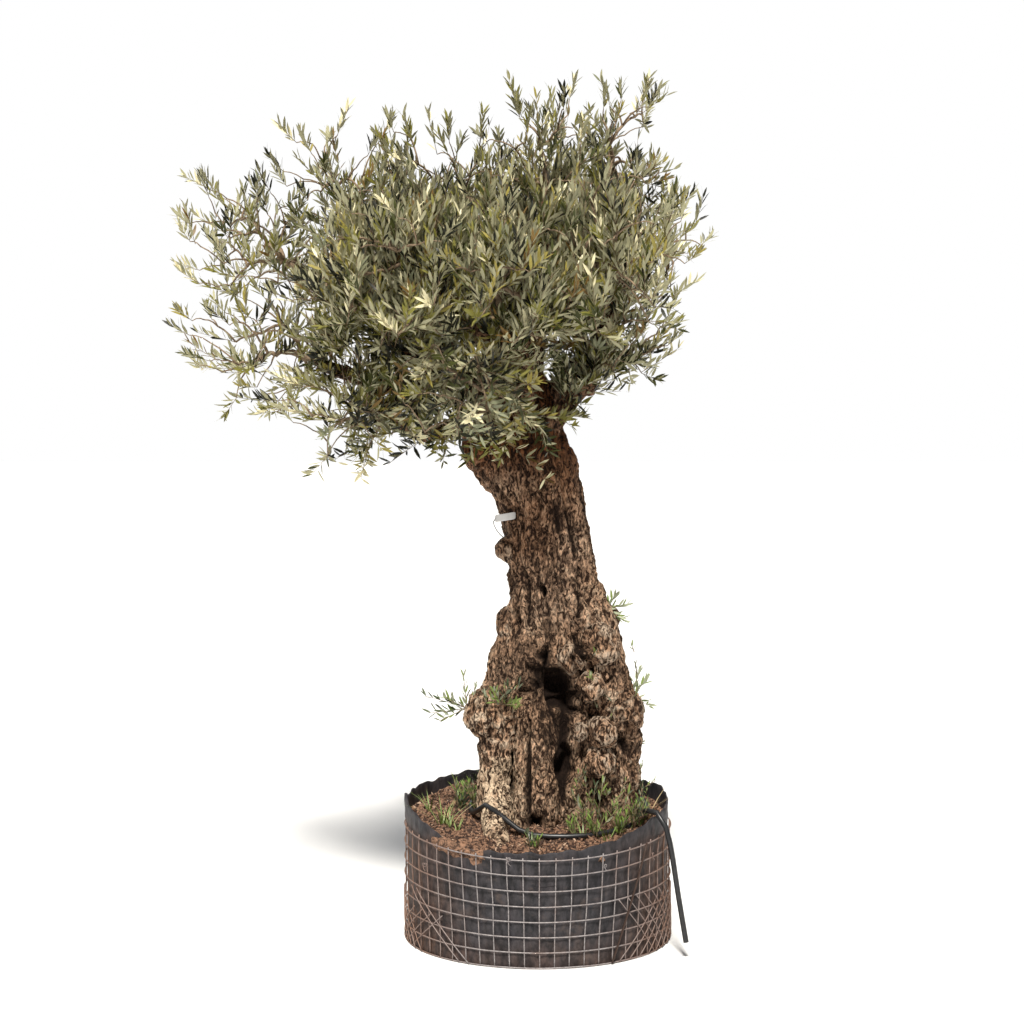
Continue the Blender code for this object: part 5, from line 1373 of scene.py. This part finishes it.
# %% [markdown]
# ## Leaves in pairs
# An olive leaf is narrow, a little over five times as long as it is wide, leathery, green above and
# silver below. Leaves stand in opposite pairs that hug their shoot, each pair turned a right angle from
# the last. A leaf here is four triangles in its own outline, a little twisted and curved, because
# tens of thousands of them have to fit. All leaves of a piece are placed with one expression.

# %% Leaf shape and placing
LEAF_ALONG = np.array([0.0, 0.32, 0.32, 0.70, 0.70, 1.0])
LEAF_ACROSS = np.array([0.0, -0.50, 0.50, -0.42, 0.42, 0.0])
LEAF_LIFT = np.array([0.0, 0.14, -0.02, 0.04, -0.12, -0.34])
LEAF_TRIANGLES = np.array([[0, 1, 2], [1, 3, 4], [1, 4, 2], [3, 5, 4]])
LEAF_LENGTH = 0.044
LEAF_SLIMNESS = 0.185


def place_leaves(roots, headings, tops, lengths, slimness=LEAF_SLIMNESS):
    """Leaves from their roots: root + length * (along * heading + slimness * (across * side + lift * top))."""
    headings = unit(headings)
    side = unit(np.cross(tops, headings))
    top = np.cross(headings, side)
    local = (LEAF_ALONG[None, :, None] * headings[:, None]
             + slimness * (LEAF_ACROSS[None, :, None] * side[:, None] + LEAF_LIFT[None, :, None] * top[:, None]))
    points = roots[:, None] + lengths[:, None, None] * local
    shift = (np.arange(len(roots)) * len(LEAF_ALONG))[:, None, None]
    return points.reshape(-1, 3), (LEAF_TRIANGLES[None] + shift).reshape(-1, 3)


def leafy_shoots(rng, starts, headings, bends, lengths, pairs, size):
    """Shoots with leaves in opposite pairs. Returns the twig paths, and each leaf's root, heading,
    top side, length and the number of its shoot."""
    count = len(starts)
    share = (np.arange(pairs) + 0.6) / pairs
    s = share[None, :, None] * lengths[:, None, None]
    roots = starts[:, None] + headings[:, None] * s + bends[:, None] * s ** 2
    axis = unit(headings[:, None] + 2 * bends[:, None] * s)
    flat = unit(np.cross(axis, rng.normal(size=(count, 1, 3)) + 0 * axis))
    cross = np.cross(axis, flat)
    turned = (np.arange(pairs) % 2)[None, :, None]
    side = np.where(turned == 0, flat, cross)
    both = np.stack([side, -side], axis=2)
    axis = axis[:, :, None]
    spread = 0.78 - 0.38 * share[None, :, None, None]
    leaf_heading = axis * 0.8 + both * spread + UP * 0.48 + rng.normal(0, 0.20, both.shape)
    leaf_top = axis * 0.6 - both + UP * 0.2 + rng.normal(0, 0.60, both.shape)
    grown = (0.72 + 0.36 * np.sin(np.pi * (0.15 + 0.75 * share)))[None, :, None]
    leaf_length = size * grown * rng.uniform(0.78, 1.15, both.shape[:3])
    roots = np.broadcast_to(roots[:, :, None], both.shape)
    owner = np.broadcast_to(np.arange(count)[:, None, None], both.shape[:3])
    return (curved(starts, headings, bends, lengths, 5), roots.reshape(-1, 3), leaf_heading.reshape(-1, 3),
            leaf_top.reshape(-1, 3), leaf_length.reshape(-1), owner.reshape(-1))


print("leaf:", round(LEAF_LENGTH * 1000), "mm long,", round(LEAF_LENGTH * LEAF_SLIMNESS * 1000), "mm wide")

# %% [markdown]
# ## Leaf colours
# A crown isn't one green. Some sprays are deep olive, some khaki, some grey; the cream sprays are a painted highlight
# and the near-black ones a painted shade. Each spray gets one of a few plain colours, dealt out by a seeded draw, so
# the colour never depends on where a pattern falls. The underside of every leaf is silvery: the material asks whether
# it is seen from the back.

# %% Leaf finishes
UNDERSIDE = (0.385, 0.370, 0.225)


def leaf_finish(name, colour, under=UNDERSIDE, roughness=0.42):
    """A plain leaf colour above and a plain silvery one below."""
    material, tree, shader = new_material(name)
    both = mix_colour(tree, put_node(tree, "NewGeometry").outputs["Backfacing"], colour, under)
    join_nodes(tree, (both, shader.inputs["Base Color"]))
    set_inputs(shader, {"Roughness": roughness, "Specular IOR Level": 0.30})
    return material


LEAF_COLOURS = [("leaf_olive", (0.178, 0.168, 0.036)), ("leaf_deep", (0.050, 0.056, 0.013)),
                ("leaf_khaki", (0.280, 0.235, 0.055)), ("leaf_brown", (0.160, 0.098, 0.028)),
                ("leaf_grey", (0.210, 0.220, 0.135)), ("leaf_highlight_cream", (0.660, 0.610, 0.390)),
                ("leaf_shade", (0.011, 0.012, 0.005))]
# Shares of the colours: the cream sprays are a painted highlight, the shade sprays a painted shade.
LEAF_SHARES = [0.25, 0.20, 0.10, 0.04, 0.06, 0.12, 0.23]
leaf_finishes = [leaf_finish(name, colour) for name, colour in LEAF_COLOURS]
twig_brown = grain_and_dust("twig_brown", (0.090, 0.058, 0.036), (0.360, 0.260, 0.165), (0.42, 0.34, 0.24),
                            amount=0.25, scale=120, roughness=0.85, bump=0.2)[0]
print("leaf colours:", len(leaf_finishes))

# %% [markdown]
# ## Where the shoots go
# Most shoots leave the branches upward, as an olive's do in the light; those at the underside hang
# out and down. Each bough also has short shoots along its own length, which hide the limbs, and a
# few sprays hang from the trunk's head in front of the bark. Longer and barer shoots, the spires,
# break the outline. The left end of the crown is thinner than the rest.

# %% Amounts of foliage
SPREAD = {"left": ["far_left_top", "far_left_low", "high_left"],
          "low_left": ["middle_left", "low_left"],
          "low": ["low_middle", "low_back"],
          "top": ["top_left", "top", "top_right"],
          "right": ["right", "low_right", "front_right"],
          "front": ["front", "front_left"],
          "back": ["back_left", "back", "back_right"]}
# How strongly shoots head up: 1 is upright, 0 is straight out, less hangs.
LIFT = {"low_left": 0.10, "low_middle": -0.25, "low_back": -0.10,
        "far_left_low": 0.45, "middle_left": 0.60, "low_right": 0.45,
        "far_left_top": 0.70}
USUAL_LIFT = 0.95
# How much of the usual foliage a mass has.
FULLNESS = {"far_left_top": 0.35, "far_left_low": 0.35, "high_left": 0.37,
            "low_left": 0.55, "top_left": 0.37, "top": 0.35,
            "top_right": 0.37, "right": 0.56, "back": 0.62,
            "back_left": 0.62, "back_right": 0.52, "front_right": 0.80}
SHOOTS_PER_LITRE = 5.0
AIRY_RIM = 0.72           # the share of shoots that is missing at the rim of a mass
SPIRE_SHARE = 0.10
LIMB_SHOOTS = 60
HEAD_SPRAYS = [((-0.17, -0.13, 1.53), (0.03, -0.21, 1.415)), ((-0.08, -0.14, 1.55), (-0.11, -0.24, 1.44)),
               ((-0.02, -0.13, 1.56), (0.03, -0.22, 1.46)), ((-0.16, -0.12, 1.52), (-0.21, -0.20, 1.43)),
               ((0.03, -0.11, 1.58), (0.10, -0.20, 1.53)), ((-0.12, -0.13, 1.56), (-0.05, -0.25, 1.50)),
               ((0.06, -0.06, 1.60), (0.14, -0.16, 1.60)), ((0.05, -0.08, 1.58), (0.13, -0.10, 1.56))]
print("pieces of crown:", len(SPREAD), "masses in them:", sum(map(len, SPREAD.values())))

# %% [markdown]
# There are three kinds of shoots: those that stand on a mass's branches, one at each branch's end,
# and short ones along a bough. Each kind is drawn as whole arrays, and shoots that would leave their
# mass's space, reach past its rim or fill an opening are dropped.

# %% Three kinds of shoots


def mass_shoots(rng, number, name, nodes, parents):
    """Starts, headings, bends and lengths of the leafy shoots on a mass's branches."""
    centre, side, rise = MASSES[name][1:4]
    wanted = round(side * side * rise * 4189 * SHOOTS_PER_LITRE * FULLNESS.get(name, 1.0) * 1.6)
    child = rng.integers(1, len(nodes), wanted)
    along = rng.uniform(0.1, 1.0, wanted)[:, None]
    starts = nodes[parents[child]] * (1 - along) + nodes[child] * along
    outward = unit((starts - centre) / (side, side, rise))
    lift = LIFT.get(name, USUAL_LIFT)
    spire = rng.uniform(size=wanted) < SPIRE_SHARE
    headings = unit(outward * 0.60 + UP * lift + rng.normal(0, 0.36, (wanted, 3)))
    bends = UP * (0.9 if lift > 0.3 else -0.5) + rng.normal(0, 0.5, (wanted, 3))
    lengths = rng.uniform(0.08, 0.20, wanted) * np.where(spire, 1.35, 1.0)
    reach = starts + headings * lengths[:, None] + bends * lengths[:, None] ** 2
    middle = starts + headings * lengths[:, None] * 0.5
    limit = np.where(spire & (reach[:, 2] > centre[2]), 1.16, 1.02)
    fits = own_space(middle, number) & (reach_share(reach, number) < limit)
    chance = np.minimum(kept_share(reach), np.minimum(kept_share(middle), kept_share(reach + UP * LEAF_LENGTH)))
    chance *= 1 - AIRY_RIM * held((reach_share(reach, number) - 0.68) / 0.32)
    fits &= rng.uniform(size=wanted) < chance
    return starts[fits], headings[fits], bends[fits], lengths[fits]


def end_shoots(rng, name, nodes, parents):
    """A leafy shoot on each branch's end, so that none stays bare."""
    ends = np.setdiff1d(np.arange(1, len(nodes)), parents)
    ends = ends[(kept_share(nodes[ends]) > 0.4) & (reach_share(nodes[ends], list(MASSES).index(name)) < 0.95)]
    along = unit(nodes[ends] - nodes[parents[ends]])
    headings = unit(along * 0.8 + UP * LIFT.get(name, USUAL_LIFT) * 0.6 + rng.normal(0, 0.15, along.shape))
    return nodes[ends], headings, rng.normal(0, 0.5, along.shape), rng.uniform(0.05, 0.09, len(ends))


def limb_shoots(rng, carrier):
    """Short shoots along a bough, out to every side of it."""
    course = bough_course(carrier, 0.01)
    place = (rng.uniform(0.10, 1.0, LIMB_SHOOTS) ** 0.8 * (len(course) - 1)).astype(int)
    ahead = unit(np.gradient(course[:, :3], axis=0))[place]
    radial = unit(np.cross(ahead, rng.normal(size=(LIMB_SHOOTS, 3))))
    headings = unit(radial * 0.8 + ahead * 0.3 + UP * 0.35)
    lengths = rng.uniform(0.07, 0.15, LIMB_SHOOTS)
    keep = rng.uniform(size=LIMB_SHOOTS) < kept_share(course[place, :3] + headings * lengths[:, None])
    return course[place, :3][keep], headings[keep], rng.normal(0, 0.6, (LIMB_SHOOTS, 3))[keep], lengths[keep]


print("shoots along each bough:", LIMB_SHOOTS)

# %% [markdown]
# A mass is grown in four steps: spread the targets, join them into branches, stand shoots on those,
# and give every shoot its leaf pairs. Masses that lie together share a piece of twigs and a piece of
# leaves, which keeps each piece under two hundred thousand triangles.

# %% Grow every mass


def grow_mass(name):
    """Twigs and leaves of one mass: tube parts, then the leaves' places and their sprays."""
    number = list(MASSES).index(name)
    carrier, centre, side, rise, tips = MASSES[name]
    rng = np.random.default_rng(400 + number)
    if isinstance(carrier, str):
        course = bough_course(carrier)
        foot, heading = course[-1, :3], unit(course[-1, :3] - course[-2, :3])
        thick = course[-1, 3]
    else:
        foot = np.array(carrier)
        heading, thick = unit(np.array(centre) - foot), 0.012
    inner = even_targets(rng, number, TARGETS)
    far = np.array(tips).reshape(-1, 3)
    far_start = far - unit(far - foot) * 0.17
    nodes, parents, carried = branch_out(rng, foot, heading, np.concatenate([inner, far_start]))
    radii = np.minimum(thick, TWIG_RADIUS * carried ** 0.5)
    radii[0] = thick
    child = np.arange(1, len(nodes))
    t = np.linspace(0, 1, 4)[None, :, None]
    paths = nodes[parents[child]][:, None] * (1 - t) + nodes[child][:, None] * t
    paths += UP * (4 * t * (1 - t)) * 0.006
    sizes = radii[parents[child]][:, None] * (1 - t[..., 0]) + radii[child][:, None] * t[..., 0]
    sizes = np.minimum(sizes, radii[child][:, None] * 1.5)
    branch_tubes = sweep(paths, sizes, 5)
    groups = [mass_shoots(rng, number, name, nodes, parents), end_shoots(rng, name, nodes, parents)]
    if isinstance(carrier, str):
        groups.append(limb_shoots(rng, carrier))
    else:
        feet, ends = np.array(HEAD_SPRAYS)[:, 0], np.array(HEAD_SPRAYS)[:, 1]
        long = np.linalg.norm(ends - feet, axis=1)
        groups.append((feet, unit(ends - feet) + UP * 0.35, np.tile(-UP * 2.0, (len(feet), 1)), long))
    if len(far):
        groups.append((far_start, unit(far - far_start), np.zeros_like(far), np.full(len(far), 0.125)))
    starts, headings, bends, lengths = (np.concatenate(part) for part in zip(*groups))
    shoots = leafy_shoots(rng, starts, headings, bends, lengths, PAIRS, LEAF_LENGTH)
    shoot_radii = np.linspace(TWIG_RADIUS * 0.8, TWIG_RADIUS * 0.35, 5)[None].repeat(len(starts), 0)
    shoot_tubes = sweep(shoots[0], shoot_radii, 3)
    colours = rng.choice(len(LEAF_COLOURS), len(starts), p=LEAF_SHARES)
    print(f"{name} mass: {len(child)} branches, {len(starts)} shoots, {len(shoots[1])} leaves")
    return branch_tubes, shoot_tubes, shoots[1:5], colours[shoots[5]]


total_leaves = 0
for part, names in SPREAD.items():
    grown = [grow_mass(name) for name in names]
    twig_points, twig_faces = joined([tubes for mass in grown for tubes in mass[:2]])
    new_piece(f"twigs_{part}", twig_points, twig_faces, [twig_brown], "bark")
    roots, headings, tops, lengths = (np.concatenate([mass[2][i] for mass in grown]) for i in range(4))
    colours = np.concatenate([mass[3] for mass in grown])
    leaf_points, leaf_faces = place_leaves(roots, headings, tops, lengths)
    leaves = new_piece(f"leaves_{part}", leaf_points, leaf_faces, leaf_finishes, "leaf",
                       [f"foliage_{name}" for name in names])
    deal_finishes(leaves, np.repeat(colours, len(LEAF_TRIANGLES)))
    total_leaves += len(roots)
print("leaves in the crown:", total_leaves)

# %% [markdown]
# ## Sprigs on the trunk and suckers at its foot
# Burls of an old olive sprout. Small leafy sprigs stand on them at both sides of the trunk, and
# suckers and weeds come up round its foot. They are grown with the crown's own functions, only
# shorter, with smaller and fresher leaves.

# %% Sprigs and suckers
SPRIGS = {
    "sprig_left_burl": ((-0.215, -0.05, 0.70), [(-0.33, -0.05, 0.685), (-0.28, -0.07, 0.735),
                                                (-0.225, -0.04, 0.80), (-0.345, -0.06, 0.74), (-0.30, -0.05, 0.66)]),
    "sprig_front_burl": ((-0.11, -0.105, 0.72), [(-0.06, -0.17, 0.73), (-0.13, -0.17, 0.77), (-0.09, -0.16, 0.78),
                                                 (-0.16, -0.13, 0.75)]),
    "sprig_right_top": ((0.205, -0.03, 1.00), [(0.235, -0.04, 1.04), (0.262, -0.02, 0.96), (0.27, -0.03, 1.01)]),
    "sprig_right_burl": ((0.285, -0.04, 0.74), [(0.305, -0.05, 0.81), (0.33, -0.03, 0.78), (0.34, -0.03, 0.70)]),
}
SUCKERS = {
    "suckers_right": ((0.17, -0.165), [(0.10, -0.20, 0.47), (0.19, -0.20, 0.51), (0.27, -0.16, 0.47)]),
    "suckers_left": ((-0.24, 0.02), [(-0.255, 0.02, 0.47), (-0.215, -0.01, 0.44)]),
}
sprig_green = leaf_finish("sprig_green", (0.165, 0.215, 0.060), (0.34, 0.37, 0.25))
sprig_dark = leaf_finish("sprig_dark", (0.040, 0.058, 0.026), (0.16, 0.19, 0.12))
weed_green = leaf_finish("weed_green", (0.150, 0.230, 0.045), (0.22, 0.29, 0.10))
straw = leaf_finish("straw", (0.46, 0.36, 0.20), (0.46, 0.36, 0.20), 0.7)


def sprig(rng, foot, tips, size, pairs):
    """Shoots from one foot to several tips, with leaf pairs: tubes and leaves."""
    tips = np.array(tips, float)
    starts = np.repeat(np.array(foot, float)[None], len(tips), 0)
    way = tips - starts
    lengths = np.linalg.norm(way, axis=1)
    bend = np.cross(way, rng.normal(size=way.shape)) * 2.0
    heading = unit(way) - bend * lengths[:, None]
    shoots = leafy_shoots(rng, starts, heading, bend, lengths, pairs, size)
    radii = np.linspace(0.0016, 0.0007, 5)[None].repeat(len(tips), 0)
    return sweep(shoots[0], radii, 4), shoots[1:5]


def put_sprigs(name, sprigs, finishes, replaced, seed):
    """Join sprigs into two pieces, one of twigs and one of leaves; each spray gets one finish."""
    rng = np.random.default_rng(seed)
    twig_points, twig_faces = joined([one[0] for one in sprigs])
    new_piece(f"{name}_twigs", twig_points, twig_faces, [twig_brown], "bark")
    roots, headings, tops, lengths = (np.concatenate([one[1][i] for one in sprigs]) for i in range(4))
    points, faces = place_leaves(roots, headings, tops, lengths, 0.20)
    piece = new_piece(f"{name}_leaves", points, faces, finishes, "leaf", replaced)
    dealt = np.concatenate([np.full(len(one[1][0]), rng.integers(0, len(finishes))) for one in sprigs])
    deal_finishes(piece, np.repeat(dealt, len(LEAF_TRIANGLES)))


rng = np.random.default_rng(77)
sprays = [sprig(rng, foot, [tip], 0.036, 6) for foot, tips in SPRIGS.values() for tip in tips]
for (x, y), tips in SUCKERS.values():
    foot = (x, y, float(soil_plane(y)) - 0.005)
    sprays += [sprig(rng, foot, [tip], 0.038, 6) for tip in tips]
# Small sprouts dotted over the right half of the trunk's foot and the left burl: from and to along X,
# the front along Y, from and to along Z, and how many.
SPROUT_ZONES = [(0.10, 0.32, -0.20, 0.36, 0.50, 34), (-0.20, -0.04, -0.13, 0.68, 0.76, 9),
                (0.16, 0.30, -0.14, 0.62, 0.90, 8), (0.28, 0.33, -0.05, 0.42, 0.62, 9)]
for x_low, x_high, y_front, z_low, z_high, count in SPROUT_ZONES:
    feet = np.column_stack([rng.uniform(x_low, x_high, count), y_front + rng.uniform(0, 0.05, count),
                            rng.uniform(z_low, z_high, count)])
    for foot in feet:
        tip = foot + np.array([rng.uniform(-0.02, 0.03), rng.uniform(-0.03, 0.0), rng.uniform(0.015, 0.05)])
        sprays.append(sprig(rng, foot, [tip], rng.uniform(0.014, 0.026), 3))
put_sprigs("sprig", sprays, [sprig_green, sprig_green, sprig_dark], list(SPRIGS) + list(SUCKERS), 78)
print("sprigs, suckers and sprouts:", len(sprays))

# %% [markdown]
# ## Weeds and grass in the pot
# A tuft of grass grows at the left of the trunk, dark leafy weeds between it and the root, and
# finer weeds at the right. A blade of grass is a ribbon of five points along a curve, pinched to
# a tip; each tuft is one call for all its blades.

# %% Grass and weeds


def blades(rng, centre, count, spread, length, lean):
    """Grass blades: ribbons along root + up * s + lean * s^2, whose width falls to nothing at the tip."""
    turn = rng.uniform(0, 2 * np.pi, count)
    out = np.column_stack([np.cos(turn), np.sin(turn), np.zeros(count)])
    roots = np.array(centre) + out * rng.uniform(0, spread, count)[:, None]
    long = length * rng.uniform(0.55, 1.0, count)
    heading = unit(UP + out * rng.uniform(0.1, 0.5, count)[:, None])
    bend = out * lean * rng.uniform(0.4, 1.3, count)[:, None] / length
    path = curved(roots, heading, bend, long, 6)
    side = unit(np.cross(heading, out))[:, None]
    width = np.array([0.8, 1.0, 0.95, 0.75, 0.45, 0.02])[None, :, None] * 0.0016
    points = np.stack([path - side * width, path + side * width], axis=2).reshape(-1, 3)
    step = np.arange(5) * 2
    one = np.concatenate([np.column_stack([step, step + 1, step + 3]), np.column_stack([step, step + 3, step + 2])])
    return points, (one[None] + (np.arange(count) * 12)[:, None, None]).reshape(-1, 3)


def on_soil(x, y):
    """A place just under the ground's surface."""
    return (x, y, float(soil_top(np.array([x]), np.array([y]))[0]) - 0.004)


GRASS = [((-0.285, -0.10), 24, 0.020, 0.100, 0.9), ((-0.262, -0.13), 12, 0.018, 0.060, 0.9),
         ((-0.240, -0.19), 10, 0.014, 0.045, 0.8), ((0.245, -0.17), 16, 0.030, 0.085, 0.7),
         ((0.300, -0.12), 16, 0.026, 0.090, 0.7), ((0.130, -0.22), 12, 0.024, 0.060, 0.7),
         ((0.200, -0.23), 14, 0.026, 0.060, 0.7), ((-0.020, -0.285), 9, 0.012, 0.050, 0.7),
         ((-0.330, 0.02), 10, 0.020, 0.080, 0.9), ((0.100, 0.300), 12, 0.030, 0.060, 0.7),
         ((-0.150, 0.26), 12, 0.030, 0.060, 0.7)]
DRY = [((0.330, -0.06), 6, 0.012, 0.120, 0.8), ((-0.262, -0.11), 5, 0.020, 0.080, 1.1),
       ((0.260, -0.15), 5, 0.020, 0.100, 0.9)]
for name, rows, finish in (("grass_tufts", GRASS, weed_green), ("dry_stalks", DRY, straw)):
    tufts = [blades(rng, on_soil(*place), *rest) for place, *rest in rows]
    new_piece(name, *joined(tufts), [finish], "leaf")

WEEDS = [((-0.185, 0.00), 10, 0.10), ((-0.180, 0.05), 9, 0.12), ((-0.235, 0.05), 7, 0.08), ((0.10, -0.215), 5, 0.07),
         ((0.165, -0.225), 6, 0.07), ((0.235, -0.205), 7, 0.08), ((0.285, -0.155), 7, 0.09), ((0.315, -0.09), 5, 0.08),
         ((-0.015, -0.30), 4, 0.05), ((-0.24, 0.10), 5, 0.08), ((0.05, 0.31), 5, 0.07)]
weeds = []
for (x, y), count, tall in WEEDS:
    foot = np.array(on_soil(x, y))
    for _shoot in range(count):
        tip = foot + np.array([rng.uniform(-0.4, 0.4), rng.uniform(-0.35, 0.2), rng.uniform(0.6, 1.0)]) * tall
        weeds.append(sprig(rng, foot + rng.normal(0, 0.006, 3) * (1, 1, 0), [tip], rng.uniform(0.018, 0.030), 4))
put_sprigs("weed", weeds, [weed_green, sprig_dark, weed_green], (), 79)
print("weed shoots:", len(weeds))

# %% [markdown]
# ## The nursery tag
# A blank white plastic strip is tied to the trunk by its own loop. It bends a little along its
# length. It is a ribbon with a thickness: the profile of a thin rounded bar carried along a
# shallow arc, and the loop is a thin tube through the strip's end and into the bark.

# %% Tag and loop
TAG_WIDTH = 0.022
TAG_THICK = 0.0012
LOOP_RADIUS = 0.0013
tag_box_low, tag_box_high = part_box("nursery_tag")
tag_left, tag_right = tag_box_low[0] + 0.002, tag_box_high[0] - 0.002
tag_height = (tag_box_low[2] + tag_box_high[2]) / 2
share = np.linspace(0, 1, 24)
tag_y = tag_box_low[1] + 0.006 + 0.010 * share ** 2 + 0.0015 * np.sin(7 * share)
spine = np.column_stack([tag_left + (tag_right - tag_left) * share, tag_y, tag_height - 0.004 + 0.010 * share])
turn = 2 * np.pi * np.arange(12) / 12
round_off = np.clip(np.minimum(share, 1 - share) / 0.05, 0.35, 1) ** 0.5
profile_up = np.sign(np.sin(turn)) * np.abs(np.sin(turn)) ** 0.3 * TAG_WIDTH / 2
profile_out = np.sign(np.cos(turn)) * np.abs(np.cos(turn)) ** 0.3 * TAG_THICK / 2
strip = spine[:, None] + profile_up[None, :, None] * round_off[:, None, None] * UP
strip = strip + profile_out[None, :, None] * np.array([0.1, -1.0, 0.0])
rows = round_grid(12, 24)
caps = np.column_stack([np.zeros(10, int), np.arange(1, 11), np.arange(2, 12)])
tag_faces = np.concatenate([rows, caps[:, ::-1], caps + 23 * 12])
strip_points = strip.reshape(-1, 3)
volume = np.einsum("ij,ij->i", strip_points[tag_faces[:, 0]],
                   np.cross(strip_points[tag_faces[:, 1]], strip_points[tag_faces[:, 2]])).sum()
new_piece("blank_tag", strip_points, tag_faces if volume > 0 else tag_faces[:, ::-1], [tag_white], "tag",
          ["nursery_tag"])
loop = smooth_curve([spine[1], spine[0] + (-0.004, 0.004, -0.012), spine[3] + (0.0, 0.02, -0.040),
                     spine[10] + (0.0, 0.05, -0.062), spine[14] + (0.0, 0.10, -0.05)], 0.006)
new_piece("tag_loop", *sweep(loop[None], LOOP_RADIUS, 6), [hose_black], "tag")
print("tag:", round((tag_right - tag_left) * 1000), "mm long,", round(TAG_WIDTH * 1000), "mm wide")

# %% [markdown]
# ## Floor and light
# A plain pale floor and a pale sky give light from all round. The sky is shown white to the camera
# but lights the tree a little less, so that the grooves of the bark and the inside of the crown
# stay dark. A sun lamp high in front does the rest, and a weak, very soft one fills in from behind.

# %% Stage and lights
SKY_SHOWN = 1.0
SKY_LIGHT = 0.18
FILL_STRENGTH = 0.8
FILL_TURN = (math.radians(-48.0), 0.0, math.radians(32.0))
SUN_STRENGTH = 5.5
SUN_TURN = (math.radians(35.0), 0.0, math.radians(-4.0))
SUN_SOFTNESS = math.radians(10.0)
FILL_SOFTNESS = math.radians(70.0)

floor_points = np.array([[-60, -30, 0], [60, -30, 0], [60, 120, 0], [-60, 120, 0]], float)
floor = put_in_scene("floor", new_mesh("floor", floor_points, np.array([[0, 1, 2], [0, 2, 3]])))
floor_pale, _tree, shader = new_material("floor_pale")
set_inputs(shader, {"Base Color": (0.86, 0.86, 0.86), "Roughness": 1.0})
floor.data.materials.append(floor_pale)

world = bpy.data.worlds.new("pale_sky")
world.use_nodes = True
shown = world.node_tree.nodes["Background"]
set_inputs(shown, {"Color": (1.0, 1.0, 1.0), "Strength": SKY_SHOWN})
light = put_node(world.node_tree, "Background", {"Color": (0.96, 0.98, 1.0), "Strength": SKY_LIGHT})
seen = put_node(world.node_tree, "LightPath")
either = put_node(world.node_tree, "MixShader")
join_nodes(world.node_tree, (seen.outputs["Is Camera Ray"], either.inputs["Fac"]),
           (light.outputs["Background"], either.inputs[1]), (shown.outputs["Background"], either.inputs[2]),
           (either.outputs["Shader"], world.node_tree.nodes["World Output"].inputs["Surface"]))
bpy.context.scene.world = world

for name, strength, turn, softness, colour in (
        ("sun", SUN_STRENGTH, SUN_TURN, SUN_SOFTNESS, (1.0, 0.96, 0.89)),
        ("fill", FILL_STRENGTH, FILL_TURN, FILL_SOFTNESS, (0.95, 0.97, 1.0))):
    lamp = bpy.data.lights.new(name, "SUN")
    lamp.energy, lamp.angle, lamp.color = strength, softness, colour
    put_in_scene(name, lamp).rotation_euler = turn
bpy.context.scene.view_settings.view_transform = "Standard"
print("sky and sun set")
